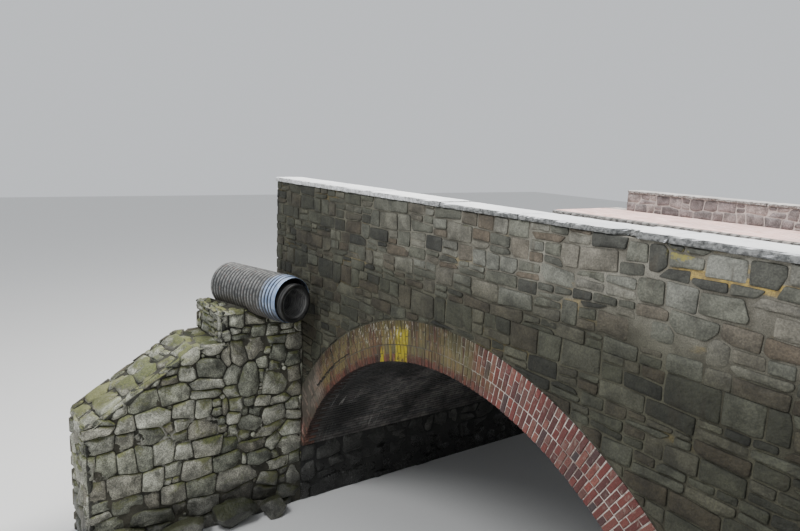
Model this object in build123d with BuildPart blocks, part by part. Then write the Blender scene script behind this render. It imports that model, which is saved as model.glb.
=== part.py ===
from build123d import *
from math import atan2, cos, degrees, radians, sin, sqrt
import os

# A small brick-arched road bridge over a stream, in millimetres.
# X runs along the road's elevation, Y through the bridge, Z up.
# The origin is at the middle of the bridge, at the level of the water.

# Arch, seen square on
clear_span = 6990
arch_rise = 2293
springing_height = 950
ring_depth = 510  # two and a half bricks
face_ring_bond = 330  # how far the face ring reaches into the bridge

# Plan of the bridge
inner_face_gap = 7900  # clear width between the two parapets
near_parapet_thickness = 420
far_parapet_thickness = 420
spandrel_thickness = 600
abutment_thickness = 1005
far_parapet_half_length = 3950

# Heights, each from the piece below it
cover_over_crown = 347
road_slab_thickness = 250
kerb_upstand = 150
near_parapet_height = 825  # road to coping top
near_coping_thickness = 76
near_coping_overhang = 40
far_parapet_height = 455  # footway to coping top
far_coping_thickness = 70
far_coping_overhang = 35
coping_joint = 6

# Lengths of the coping flags from left to right, the last ones take what is left
near_flag_lengths = [1500, 1300, 1450, 1200, 1190, 400]
far_flag_lengths = [1620, 1480, 1700, 1540]

# How much lower than the highest flag the top of each near flag lies, from left to right
near_flag_drops = [0, 0, 4, 12, 14, 4, 0]

# The front corners are broken off where two near flags meet
break_after_flag = 5
break_left_width = 90
break_right_width = 130
break_depth = 85

# Carriageway, kerb and footway
kerb_from_far_parapet = 1870
kerb_width = 150
kerb_length = 1460
kerb_joint = 8
kerb_arris = 15  # cut off the front edge of its top
footway_brick_thickness = 60

# Wing walls that carry the banks of the stream
wing_length = 3200
wing_height = 2850
wing_level_run = 1700
wing_end_height = 1900

# Toe stones at the foot of each wing wall
toe_reach = 300
toe_heights = [300, 400, 340, 420]
toe_lengths = [460, 640, 820, 700]
toe_gap = 60
toe_from_face = 300
toe_rounding = 90

# Drain pipe that comes through the bank above the left wing wall
pipe_radius = 330
pipe_rib_height = 14
pipe_wall = 12
pipe_rib_pitch = 68
pipe_rib_width = 36
pipe_band_length = 90
pipe_mouth_x = -2960
pipe_mouth_from_face = 460
pipe_skew = 15  # degrees, the mouth is turned towards the bridge
liner_radius = 275
liner_wall = 62
liner_reach = 80
liner_rib_height = 7
liner_rib_width = 45
liner_rib_pitch = 90
pipe_bed_width = 1350
pipe_bed_thickness = 317
pipe_bed_wrap = 150
seat_gap = 0.3

# What follows from those sizes
half_span = clear_span / 2
intrados_radius = (half_span**2 + arch_rise**2) / (2 * arch_rise)
extrados_radius = intrados_radius + ring_depth
arch_centre_height = springing_height + arch_rise - intrados_radius
arch_centre = (0, arch_centre_height)
spring_angle = degrees(atan2(springing_height - arch_centre_height, half_span))
arch_sweep = 180 - 2 * spring_angle
skewback_x = half_span * extrados_radius / intrados_radius
skewback_height = arch_centre_height + (springing_height - arch_centre_height) * extrados_radius / intrados_radius
abutment_end = half_span + abutment_thickness
bed_level = arch_centre_height + extrados_radius + cover_over_crown
road_level = bed_level + road_slab_thickness
footway_level = road_level + kerb_upstand
near_coping_top = road_level + near_parapet_height
far_coping_top = footway_level + far_parapet_height
near_face = -inner_face_gap / 2 - near_parapet_thickness
far_face = inner_face_gap / 2 + far_parapet_thickness
near_inner_face = near_face + near_parapet_thickness
far_inner_face = far_face - far_parapet_thickness
kerb_face = far_inner_face - kerb_from_far_parapet

os.makedirs("parts", exist_ok=True)
pieces = []


def elevation(y):
    """The plane of an elevation drawing at y. Extruding it goes towards the near face."""
    return Plane.XZ.offset(-y)


def keep(piece, name):
    """Label a finished piece and write it to its own file."""
    piece.label = name
    export_step(piece, f"parts/{name}.step")
    pieces.append(piece)


def make_arch(name, front, back):
    """Build a length of the brick arch, from one springing to the other."""
    with BuildPart() as arch:
        with BuildSketch(elevation(back)):
            with BuildLine():
                inner = CenterArc(arch_centre, intrados_radius, spring_angle, arch_sweep)
                outer = CenterArc(arch_centre, extrados_radius, spring_angle, arch_sweep)
                Line(inner @ 0, outer @ 0)
                Line(inner @ 1, outer @ 1)
            make_face()
        extrude(amount=back - front)
    keep(arch.part, name)


def extrados_height(x):
    """The height of the back of the arch at x."""
    return arch_centre_height + sqrt(extrados_radius**2 - x**2)


def make_above_arch(name, left, right, front, back):
    """Build what lies over the back of the arch and over the abutments, up to the bed of the road."""
    start = max(left, -skewback_x)
    end = min(right, skewback_x)
    middle = (start + end) / 2
    with BuildPart() as mass:
        with BuildSketch(elevation(back)):
            with BuildLine():
                ThreePointArc(
                    (start, extrados_height(start)),
                    (middle, extrados_height(middle)),
                    (end, extrados_height(end)),
                )
                if right > end:
                    Line((end, skewback_height), (right, skewback_height))
                if left < start:
                    Line((left, skewback_height), (start, skewback_height))
                Polyline(
                    (right, extrados_height(end)),
                    (right, bed_level),
                    (left, bed_level),
                    (left, extrados_height(start)),
                )
            make_face()
        extrude(amount=back - front)
    keep(mass.part, name)


# Abutments, with the skewbacks that the arch springs from
for side, sign in (("left", -1), ("right", 1)):
    with BuildPart() as abutment:
        with BuildSketch(elevation(far_face)):
            with BuildLine():
                Polyline(
                    (sign * half_span, 0),
                    (sign * abutment_end, 0),
                    (sign * abutment_end, skewback_height),
                    (sign * skewback_x, skewback_height),
                    (sign * half_span, springing_height),
                    close=True,
                )
            make_face()
        extrude(amount=far_face - near_face)
    keep(abutment.part, f"{side}_abutment")

# Brick arch: a ring that shows on each face, and the vault between them
arch_lengths = {
    "near_arch_ring": (near_face, near_face + face_ring_bond),
    "barrel_vault": (near_face + face_ring_bond, far_face - face_ring_bond),
    "far_arch_ring": (far_face - face_ring_bond, far_face),
}
for name, (front, back) in arch_lengths.items():
    make_arch(name, front, back)

# Spandrel walls, and between them the backing over the haunches
near_backing_face = near_face + spandrel_thickness
far_backing_face = far_face - spandrel_thickness
make_above_arch("near_spandrel_wall", -abutment_end, abutment_end, near_face, near_backing_face)
make_above_arch("far_spandrel_wall", -abutment_end, abutment_end, far_backing_face, far_face)
make_above_arch("left_haunch_backing", -abutment_end, 0, near_backing_face, far_backing_face)
make_above_arch("right_haunch_backing", 0, abutment_end, near_backing_face, far_backing_face)


def make_wall(name, half_length, front, back, foot, top):
    """Build a straight length of wall or slab, the same to each side of the middle."""
    with BuildPart() as wall:
        with BuildSketch(Plane.XY.offset(foot)):
            with Locations((0, (front + back) / 2)):
                Rectangle(2 * half_length, back - front)
        extrude(amount=top - foot)
    keep(wall.part, name)


# Parapets
near_coping_foot = near_coping_top - near_coping_thickness
far_coping_foot = far_coping_top - far_coping_thickness
make_wall("near_parapet", abutment_end, near_face, near_inner_face, bed_level, near_coping_foot)

# The far parapet is shorter than the bridge, so its base course runs on past it to each end
with BuildPart() as far_parapet:
    with BuildSketch(elevation(far_face)):
        with BuildLine():
            Polyline(
                (-abutment_end, bed_level),
                (-abutment_end, footway_level),
                (-far_parapet_half_length, footway_level),
                (-far_parapet_half_length, far_coping_foot),
                (far_parapet_half_length, far_coping_foot),
                (far_parapet_half_length, footway_level),
                (abutment_end, footway_level),
                (abutment_end, bed_level),
                close=True,
            )
        make_face()
    extrude(amount=far_parapet_thickness)
keep(far_parapet.part, "far_parapet")

# Carriageway, kerb and footway
footway_bed = footway_level - footway_brick_thickness
make_wall("road_slab", abutment_end, near_inner_face, kerb_face, bed_level, road_level)
make_wall("footway_base", abutment_end, kerb_face + kerb_width, far_inner_face, bed_level, footway_bed)
make_wall("brick_footway", abutment_end, kerb_face + kerb_width, far_inner_face, footway_bed, footway_level)

kerb_count = int(2 * abutment_end / kerb_length)
kerb_pitch = 2 * abutment_end / kerb_count
with BuildPart() as kerb:
    with BuildSketch(Plane.XY.offset(bed_level)):
        with Locations((0, kerb_face + kerb_width / 2)):
            with GridLocations(kerb_pitch, kerb_width, kerb_count, 1):
                Rectangle(kerb_pitch - kerb_joint, kerb_width)
    extrude(amount=footway_level - bed_level)
    kerb_arrises = kerb.edges().filter_by(Axis.X).group_by(Axis.Z)[-1]
    chamfer(kerb_arrises.group_by(Axis.Y)[0], length=kerb_arris)
keep(kerb.part, "kerb_stones")


def make_flags(prefix, half_length, lengths, drops, front, back, foot, top, break_after=0):
    """Lay coping flags end to end, with a joint between them."""
    run = [*lengths, 2 * half_length - sum(lengths)]
    left = -half_length
    for number, (length, drop) in enumerate(zip(run, drops), start=1):
        start = left + (coping_joint / 2 if number > 1 else 0)
        end = left + length - (coping_joint / 2 if number < len(run) else 0)
        with BuildPart() as flag:
            with BuildSketch(Plane.XY.offset(foot)):
                with Locations(((start + end) / 2, (front + back) / 2)):
                    Rectangle(end - start, back - front)
                if break_after and number == break_after:
                    with BuildLine():
                        Polyline((end - break_left_width, front), (end, front + break_depth), (end, front), close=True)
                    make_face(mode=Mode.SUBTRACT)
                if break_after and number == break_after + 1:
                    with BuildLine():
                        Polyline(
                            (start, front), (start, front + break_depth), (start + break_right_width, front), close=True
                        )
                    make_face(mode=Mode.SUBTRACT)
            extrude(amount=top - drop - foot)
        keep(flag.part, f"{prefix}_coping_flag_{number}")
        left += length


make_flags(
    "near",
    abutment_end,
    near_flag_lengths,
    near_flag_drops,
    near_face - near_coping_overhang,
    near_inner_face + near_coping_overhang,
    near_coping_foot,
    near_coping_top,
    break_after=break_after_flag,
)
make_flags(
    "far",
    far_parapet_half_length,
    far_flag_lengths,
    [0] * (len(far_flag_lengths) + 1),
    far_inner_face - far_coping_overhang,
    far_face + far_coping_overhang,
    far_coping_foot,
    far_coping_top,
)

# Wing walls, in line with the abutments, level at first and then raked down
for end_name, face, away in (("near", near_face, -1), ("far", far_face, 1)):
    for side, sign in (("left", -1), ("right", 1)):
        with BuildPart() as wing:
            with BuildSketch(Plane.YZ.offset(sign * half_span)):
                with BuildLine():
                    Polyline(
                        (face, 0),
                        (face, wing_height),
                        (face + away * wing_level_run, wing_height),
                        (face + away * wing_length, wing_end_height),
                        (face + away * wing_length, 0),
                        close=True,
                    )
                make_face()
            extrude(amount=sign * (abutment_end - half_span))
        keep(wing.part, f"{end_name}_{side}_wing_wall")

        with BuildPart() as toe:
            from_face = toe_from_face
            for stone_length, stone_height in zip(toe_lengths, toe_heights):
                middle = face + away * (from_face + stone_length / 2)
                with BuildSketch(Plane.XY):
                    with Locations((sign * (half_span - toe_reach / 2), middle)):
                        Rectangle(toe_reach, stone_length)
                extrude(amount=stone_height)
                from_face += stone_length + toe_gap
            stream_faces = toe.faces().filter_by(Axis.X).group_by(Axis.X)[0 if sign > 0 else -1]
            fillet(stream_faces.edges(), radius=toe_rounding)
        keep(toe.part, f"{end_name}_{side}_toe_stones")

# Drain pipe: a corrugated steel sleeve with a smaller plastic pipe lying in it
pipe_turn = radians(pipe_skew)
pipe_heading = Vector(cos(pipe_turn), sin(pipe_turn), 0)
pipe_outer_radius = pipe_radius + pipe_rib_height
pipe_axis_height = wing_height + pipe_bed_thickness + pipe_outer_radius
pipe_mouth = Vector(pipe_mouth_x, near_face - pipe_mouth_from_face, pipe_axis_height)
pipe_back = (pipe_mouth_x + abutment_end - pipe_radius * sin(pipe_turn)) / cos(pipe_turn)
pipe_inner_radius = pipe_radius - pipe_wall
liner_outer_radius = liner_radius + liner_rib_height
liner_inner_radius = liner_radius - liner_wall
liner_drop = pipe_inner_radius - liner_outer_radius - seat_gap


def make_ribbed_pipe(mouth, front, back, inner, outer, rib_height, rib_width, rib_pitch, band):
    """Turn a pipe with ribs round it. A plain band is left at its mouth."""
    with BuildPart() as pipe:
        with BuildSketch(Plane(mouth, x_dir=pipe_heading, z_dir=pipe_heading.cross(Vector(0, 0, 1)))):
            with Locations(((front - back) / 2, (inner + outer) / 2)):
                Rectangle(front + back, outer - inner)
            ribs = int((front + back - band) / rib_pitch)
            for number in range(ribs):
                middle = front - band - (number + 0.5) * rib_pitch
                with BuildLine():
                    Polyline(
                        (middle - rib_width / 2, outer),
                        (middle - rib_width / 4, outer + rib_height),
                        (middle + rib_width / 4, outer + rib_height),
                        (middle + rib_width / 2, outer),
                        close=True,
                    )
                make_face()
        revolve(axis=Axis(mouth, pipe_heading))
    return pipe.part


sleeve = make_ribbed_pipe(
    pipe_mouth,
    0,
    pipe_back,
    pipe_inner_radius,
    pipe_radius,
    pipe_rib_height,
    pipe_rib_width,
    pipe_rib_pitch,
    pipe_band_length,
)
keep(sleeve, "drain_pipe_sleeve")
liner = make_ribbed_pipe(
    pipe_mouth - Vector(0, 0, liner_drop),
    liner_reach,
    pipe_back,
    liner_inner_radius,
    liner_radius,
    liner_rib_height,
    liner_rib_width,
    liner_rib_pitch,
    0,
)
keep(liner, "drain_pipe_liner")

# Masonry bed on the left wing wall, hollowed to the pipe
with BuildPart() as pipe_bed:
    with BuildSketch(Plane.XY.offset(wing_height)):
        with Locations((-(abutment_end + half_span) / 2, near_face - pipe_bed_width / 2)):
            Rectangle(abutment_end - half_span, pipe_bed_width)
    extrude(amount=pipe_axis_height - pipe_outer_radius + pipe_bed_wrap - wing_height)
    with BuildSketch(Plane(pipe_mouth, z_dir=pipe_heading)):
        Circle(pipe_outer_radius + seat_gap)
    extrude(amount=-2 * pipe_back, mode=Mode.SUBTRACT)
keep(pipe_bed.part, "pipe_bed")

print(f"clear span {2 * half_span:.0f} mm, arch radius {intrados_radius:.0f} mm")
print(f"solid volume {sum(piece.volume for piece in pieces) / 1e9:.2f} cubic metres")
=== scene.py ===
import math
import random

import bmesh
import bpy
import numpy
from mathutils import Matrix, Vector, noise


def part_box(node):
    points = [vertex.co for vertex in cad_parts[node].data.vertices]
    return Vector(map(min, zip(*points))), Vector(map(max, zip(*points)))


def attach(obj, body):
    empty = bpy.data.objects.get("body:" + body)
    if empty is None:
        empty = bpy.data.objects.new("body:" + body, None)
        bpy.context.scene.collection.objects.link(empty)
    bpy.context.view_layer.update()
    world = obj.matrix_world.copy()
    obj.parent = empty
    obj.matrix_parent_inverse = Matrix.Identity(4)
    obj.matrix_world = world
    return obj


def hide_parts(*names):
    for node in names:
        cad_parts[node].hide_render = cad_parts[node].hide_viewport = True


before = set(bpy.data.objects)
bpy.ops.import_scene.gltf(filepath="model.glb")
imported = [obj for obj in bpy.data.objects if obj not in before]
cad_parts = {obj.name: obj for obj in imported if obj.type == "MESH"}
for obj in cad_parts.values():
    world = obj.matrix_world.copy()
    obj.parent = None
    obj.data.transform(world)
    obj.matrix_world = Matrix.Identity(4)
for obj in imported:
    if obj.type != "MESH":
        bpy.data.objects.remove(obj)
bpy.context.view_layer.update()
print("frame loaded")

# sizes read from the frame, in metres
abutmentLow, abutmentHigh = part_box("right_abutment")
ringLow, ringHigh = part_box("near_arch_ring")
wingLow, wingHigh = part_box("near_left_wing_wall")
parapetLow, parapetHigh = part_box("near_parapet")
farParapetLow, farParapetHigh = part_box("far_parapet")
kerbLow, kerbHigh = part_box("kerb_stones")
bedLow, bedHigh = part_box("pipe_bed")
halfSpan = abutmentLow.x
bridgeEnd = abutmentHigh.x
skewTop = abutmentHigh.z
nearFace = ringLow.y
farFace = abutmentHigh.y
springing = ringLow.z
crownTop = ringHigh.z
skewX = ringHigh.x
ringBond = ringHigh.y - ringLow.y
bedLevel = parapetLow.z
nearCopingFoot = parapetHigh.z
farCopingFoot = farParapetHigh.z
wingTop = wingHigh.z
wingLength = nearFace - wingLow.y
archZ = (crownTop**2 - skewX**2 - skewTop**2) / (2 * (crownTop - skewTop))
outerRadius = crownTop - archZ
innerRadius = math.hypot(halfSpan, springing - archZ)
springAngle = math.atan2(springing - archZ, halfSpan)
archSweep = math.pi - 2 * springAngle
wingLevelRun = 1.7  # then the top falls to its end
wingEndHeight = 1.9
ends = (("near", nearFace, -1), ("far", farFace, 1))  # each face of the bridge, and the way out from it
sides = (("left", -1), ("right", 1))


# outlines of stones, drawn flat on a wall


def clip(poly, point, normal):
    kept = []
    for i, a in enumerate(poly):
        b = poly[(i + 1) % len(poly)]
        da = (a[0] - point[0]) * normal[0] + (a[1] - point[1]) * normal[1]
        db = (b[0] - point[0]) * normal[0] + (b[1] - point[1]) * normal[1]
        if da <= 0:
            kept.append(a)
        if da * db < 0:
            t = da / (da - db)
            kept.append((a[0] + (b[0] - a[0]) * t, a[1] + (b[1] - a[1]) * t))
    return kept


def areaOf(poly):
    return 0.5 * sum(a[0] * b[1] - b[0] * a[1] for a, b in zip(poly, poly[1:] + poly[:1]))


def middleOf(poly):
    area = areaOf(poly)
    if abs(area) < 1e-9:
        return sum(p[0] for p in poly) / len(poly), sum(p[1] for p in poly) / len(poly)
    u = v = 0.0
    for a, b in zip(poly, poly[1:] + poly[:1]):
        cross = a[0] * b[1] - b[0] * a[1]
        u += (a[0] + b[0]) * cross
        v += (a[1] + b[1]) * cross
    return u / (6 * area), v / (6 * area)


def between(a, b, t):
    return a[0] + (b[0] - a[0]) * t, a[1] + (b[1] - a[1]) * t


def withoutShort(poly, shortest):
    kept = []
    for point in poly:
        if not kept or math.dist(point, kept[-1]) > shortest:
            kept.append(point)
    while len(kept) > 2 and math.dist(kept[0], kept[-1]) < shortest:
        kept.pop()
    return kept


def softOutline(poly, radius, spacing, fine):
    # rounds each corner, and gives long edges points of their own
    poly = withoutShort(poly, radius * 0.45)
    outline = []
    for before, corner, after in zip(poly[-1:] + poly[:-1], poly, poly[1:] + poly[:1]):
        toBefore, toAfter = math.dist(corner, before), math.dist(corner, after)
        start = between(corner, before, min(0.42, radius / toBefore))
        end = between(corner, after, min(0.42, radius / toAfter))
        chord = between(start, end, 0.5)
        if math.dist(corner, chord) > radius * 0.12:
            outline += [start, between(chord, corner, 0.5), end] if fine else [start, end]
        else:
            outline.append(corner)
        run = math.dist(end, after) - radius
        steps = int(run / spacing)
        outline += [between(end, after, (k + 1) / (steps + 1) * run / max(1e-9, math.dist(end, after)))
                    for k in range(steps)]
    return withoutShort(outline, radius * 0.3)


def superEllipse(u, v, w, h, power, turn, count, ragged, rng):
    outline = []
    for i in range(count):
        angle = 2 * math.pi * (i + 0.5) / count
        c, s = math.cos(angle), math.sin(angle)
        r = (abs(c) ** power + abs(s) ** power) ** (-1 / power)
        r *= 1 - ragged * rng.random() if ragged else 1
        x, y = r * c * w / 2, r * s * h / 2
        outline.append((u + x * math.cos(turn) - y * math.sin(turn), v + x * math.sin(turn) + y * math.cos(turn)))
    return outline


def coursedStones(length, height, style, rng):
    # stones as (middle u, middle v, width, height, turn, tone), in rough courses
    stones = []
    v = 0.0
    while v < height - 0.01:
        course = rng.uniform(*style["courseHeight"])
        if height - v - course < style["courseHeight"][0] * 0.7:
            course = height - v
        u = -rng.uniform(0, style["stoneLength"][0])
        while u < length:
            run = rng.uniform(*style["stoneLength"])
            if rng.random() < style["splitShare"]:
                low = course * rng.uniform(0.38, 0.62)
                cut = run * rng.uniform(0.4, 0.6) if run > style["stoneLength"][1] * 0.75 else 0
                stones.append((u + run / 2, v + low / 2, run, low))
                if cut:
                    stones.append((u + cut / 2, v + (low + course) / 2, cut, course - low))
                stones.append((u + (cut + run) / 2, v + (low + course) / 2, run - cut, course - low))
            else:
                stones.append((u + run / 2, v + course / 2, run, course))
            u += run
        v += course
    jitter = style["jitter"]
    return [(u + rng.uniform(-1, 1) * jitter * w, v + rng.uniform(-1, 1) * jitter * h, w, h,
             rng.uniform(-1, 1) * style["turn"], rng.random()) for u, v, w, h in stones]


def reachOf(stone, du, dv, power):
    # how far a stone reaches towards a direction, and which way its side faces there
    w, h, turn = stone[2:5]
    c, s = math.cos(turn), math.sin(turn)
    x, y = (du * c + dv * s) / (w / 2), (dv * c - du * s) / (h / 2)
    size = (abs(x) ** power + abs(y) ** power) ** (1 / power)
    x = math.copysign(abs(x / size) ** (power - 1), x) / (w / 2)
    y = math.copysign(abs(y / size) ** (power - 1), y) / (h / 2)
    return 1 / size, Vector((x * c - y * s, x * s + y * c)).normalized()


def fitStones(seeds, style, rng):
    # each stone keeps to its own side of a line between it and each neighbour, that follows the sides of both
    leans, outlines = {}, []
    power = style["squareness"]
    for i, stone in enumerate(seeds):
        u, v, w, h, turn = stone[:5]
        poly = superEllipse(u, v, w * style["spread"], h * style["spread"], power, turn, style["sides"],
                            style["ragged"], rng)
        for j, other in enumerate(seeds):
            du, dv = other[0] - u, other[1] - v
            if i == j or abs(du) > w + other[2] or abs(dv) > h + other[3]:
                continue
            away = math.hypot(du, dv)
            du, dv = du / away, dv / away
            own, ownSide = reachOf(stone, du, dv, power)
            its, itsSide = reachOf(other, -du, -dv, power)
            pair = (min(i, j), max(i, j))
            if pair not in leans:
                leans[pair] = rng.uniform(-1, 1) * style["lean"]
            side = ownSide - itsSide
            if side.length < 0.05:
                continue
            angle = math.atan2(side.y, side.x) + leans[pair]
            normal = (math.cos(angle), math.sin(angle))
            split = away * own / (own + its)
            point = (u + du * split - normal[0] * style["gap"] / 2, v + dv * split - normal[1] * style["gap"] / 2)
            poly = clip(poly, point, normal)
            if len(poly) < 3:
                break
        outlines.append(poly)
    return outlines


def fillHoles(stones, length, height, smallest):
    # small pinning stones go where the larger ones leave room
    step = 0.04
    room = []
    for i in range(int(length / step)):
        for j in range(int(height / step)):
            u, v = (i + 0.5) * step, (j + 0.5) * step
            free = min(max(abs(u - s[0]) - s[2] / 2, abs(v - s[1]) - s[3] / 2) for s in stones)
            if free > smallest / 2:
                room.append((min(free, 0.14), u, v))
    pins = []
    for free, u, v in sorted(room, reverse=True):
        if all(max(abs(u - s[0]) - s[2] / 2, abs(v - s[1]) - s[3] / 2) > smallest / 2 for s in pins):
            pins.append((u, v, 2 * free, 1.7 * free, 0.0, (u * 7.3 + v * 3.1) % 1))
    return stones + pins


def pinGaps(outlines, length, height, smallest, rng):
    # outlines of small stones for the room that the others leave, the largest first
    step, most = 0.02, 0.09
    u, v = numpy.meshgrid(numpy.arange(step / 2, length, step), numpy.arange(step / 2, height, step), indexing="ij")
    free = numpy.minimum(numpy.minimum(u, length - u), numpy.minimum(v, height - v))
    free = numpy.minimum(free + 0.012, most)
    for poly in outlines:
        if len(poly) < 3:
            continue
        low = [max(0, int((min(p[k] for p in poly) - most) / step)) for k in range(2)]
        high = [max(0, int((max(p[k] for p in poly) + most) / step) + 1) for k in range(2)]
        part = (slice(low[0], high[0]), slice(low[1], high[1]))
        away = numpy.full(free[part].shape, -1.0)
        for a, b in zip(poly, poly[1:] + poly[:1]):
            run = max(1e-9, math.dist(a, b))
            away = numpy.maximum(away, ((u[part] - a[0]) * (b[1] - a[1]) - (v[part] - a[1]) * (b[0] - a[0])) / run)
        free[part] = numpy.minimum(free[part], away)
    pins = []
    while free.max() > smallest:
        at = numpy.unravel_index(free.argmax(), free.shape)
        reach = float(free[at])
        pins.append(superEllipse(float(u[at]), float(v[at]), 2.5 * reach, 2.15 * reach, 2.6, rng.uniform(0, 3), 8,
                                 0.14, rng))
        free = numpy.minimum(free, numpy.hypot(u - u[at], v - v[at]) - 1.1 * reach)
    return pins


def keepOffCircle(poly, centre, radius):
    # cuts a stone to the round edge that it lies against
    if len(poly) < 3:
        return poly
    mid = middleOf(poly)
    away = math.dist(mid, centre)
    if away < 1e-6:
        return []
    normal = ((centre[0] - mid[0]) / away, (centre[1] - mid[1]) / away)
    return clip(poly, (centre[0] - normal[0] * radius, centre[1] - normal[1] * radius), normal)


# a heap of points and faces becomes one piece


def placeObject(name, data):
    placed = bpy.data.objects.new(name, data)
    bpy.context.scene.collection.objects.link(placed)
    return placed


class Heap:
    def __init__(self):
        self.points, self.faces, self.kinds, self.smooth = [], [], [], []
        self.values = {"tone": [], "tint": [], "rim": []}

    def add(self, points, faces, kind, smooth, tone=0.5, tint=0.5, rims=None):
        base, count = len(self.points), len(points)
        self.points += points
        self.faces += [tuple(base + i for i in face) for face in faces]
        self.kinds += [kind] * len(faces)
        self.smooth += [smooth] * len(faces)
        self.values["tone"] += [tone] * count
        self.values["tint"] += [tint] * count
        self.values["rim"] += rims or [1.0] * count

    def addMesh(self, mesh, kind):
        count = len(mesh.vertices)
        flat = [0.0] * (3 * count)
        mesh.vertices.foreach_get("co", flat)
        points = [tuple(flat[i:i + 3]) for i in range(0, 3 * count, 3)]
        self.add(points, [polygon.vertices for polygon in mesh.polygons], kind, False)
        for name, store in self.values.items():
            if name in mesh.attributes:
                values = [0.0] * count
                mesh.attributes[name].data.foreach_get("value", values)
                store[-count:] = values

    def makePiece(self, name, finishes, node):
        mesh = bpy.data.meshes.new(name)
        mesh.from_pydata(self.points, [], self.faces)
        for finish in finishes:
            mesh.materials.append(materials[finish])
        mesh.polygons.foreach_set("material_index", self.kinds)
        mesh.polygons.foreach_set("use_smooth", self.smooth)
        for label, values in self.values.items():
            mesh.attributes.new(label, "FLOAT", "POINT").data.foreach_set("value", values)
        mesh.update()
        piece = placeObject(name, mesh)
        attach(piece, "root")
        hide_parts(node)
        print(f"{name}: {sum(len(face) - 2 for face in self.faces)} triangles")


def coreOf(heap, node, moves, endKind=0):
    # the CAD solid's own shape, with some of its faces set back behind the stones
    shell = bmesh.new()
    shell.from_mesh(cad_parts[node].data)
    bmesh.ops.remove_doubles(shell, verts=shell.verts, dist=0.00001)
    shell.verts.ensure_lookup_table()
    points = []
    for vertex in shell.verts:
        p = vertex.co.copy()
        for move in moves:
            p = move(p)
        points.append(tuple(p))
    heap.add(points, [[v.index for v in face.verts] for face in shell.faces], 0, False)
    if endKind:
        heap.kinds[-len(shell.faces):] = [
            endKind if abs(face.normal.x) > 0.9 and abs(face.calc_center_median().x) > bridgeEnd - 0.1 else 0
            for face in shell.faces]
    shell.free()


def setBack(axis, at, by):
    def move(p):
        if abs(p[axis] - at) < 0.0005:
            p[axis] = at + by
        return p
    return move


def setBackSoffit(by):
    def move(p):
        r = math.hypot(p.x, p.z - archZ)
        if abs(r - innerRadius) < 0.003:
            p.x *= (innerRadius + by) / r
            p.z = archZ + (p.z - archZ) * (innerRadius + by) / r
        return p
    return move


class Plane:
    # a wall's face: u runs along it, v up it and n out of it
    def __init__(self, origin, u, v=(0, 0, 1)):
        self.origin = Vector(origin)
        self.u = Vector(u).normalized()
        self.v = Vector(v).normalized()
        self.n = self.u.cross(self.v)

    def at(self, u, v, w):
        return self.origin + self.u * u + self.v * v + self.n * w


def addStone(heap, plane, poly, style, rng, kind, tone):
    # one stone: sides down into the joint, a rounded arris, and a face of a few rough planes
    if len(poly) < 3 or areaOf(poly) < style["smallest"]:
        return
    outline = softOutline(poly, style["cornerRadius"], style["spacing"], style["fine"])
    if len(outline) < 5:
        return
    cu, cv = middleOf(outline)
    size = math.sqrt(areaOf(outline))
    edge = min(style["edge"], size * 0.2) * rng.uniform(0.75, 1.25)
    bulge = style["bulge"] * min(1.5, size / style["usualSize"])
    lift = style["lift"] - rng.uniform(0, style["step"])
    tilt = style["facetTilt"]
    facets = [(rng.uniform(-tilt, tilt), rng.uniform(-tilt, tilt), bulge * rng.uniform(0.25, 1))
              for _ in range(style["facets"])]
    shift = Vector((rng.uniform(0, 40), rng.uniform(0, 40), rng.uniform(0, 40)))
    count = len(outline)
    # inset from the outline (for the inner rings, their scale), drop from the face, share of the roughness, rim
    rings = [(style["depth"] * 0.4, style["depth"], 0, 0), (0, edge, 0.2, 0), (0.25 * edge, 0.4 * edge, 0.5, 0.45),
             (edge, 0.05 * edge, 1, 1)]
    rings += [(scale, 0, 1, 1) for scale in style["innerRings"]]
    points, rims = [], []

    def place(u, v, drop, share, keep, rim):
        rough = noise.fractal(plane.at(u, v, 0) * style["roughScale"] + shift, 0.9, 2.1, 3)
        face = min([bulge * (1 - keep * keep)] + [c + a * (u - cu) + b * (v - cv) for a, b, c in facets])
        w = lift - drop + share * (style["rough"] * rough + face)
        points.append(tuple(plane.at(u, v, max(-style["depth"], min(w, style["limit"])))))
        rims.append(rim)

    for number, (inset, drop, share, rim) in enumerate(rings):
        for u, v in outline:
            r = max(1e-6, math.hypot(u - cu, v - cv))
            keep = inset if number > 3 else max(0.35, 1 - inset / r)
            place(cu + (u - cu) * keep, cv + (v - cv) * keep, drop, share, keep, rim)
    place(cu, cv, 0, 1, 0, 1)
    faces = []
    for k in range(len(rings) - 1):
        for i in range(count):
            j = (i + 1) % count
            faces.append((k * count + i, k * count + j, (k + 1) * count + j, (k + 1) * count + i))
    last = (len(rings) - 1) * count
    faces += [(last + i, last + (i + 1) % count, len(rings) * count) for i in range(count)]
    faces.append(tuple(reversed(range(count))))
    heap.add(points, faces, kind, True, tone, rng.random(), rims)


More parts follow.
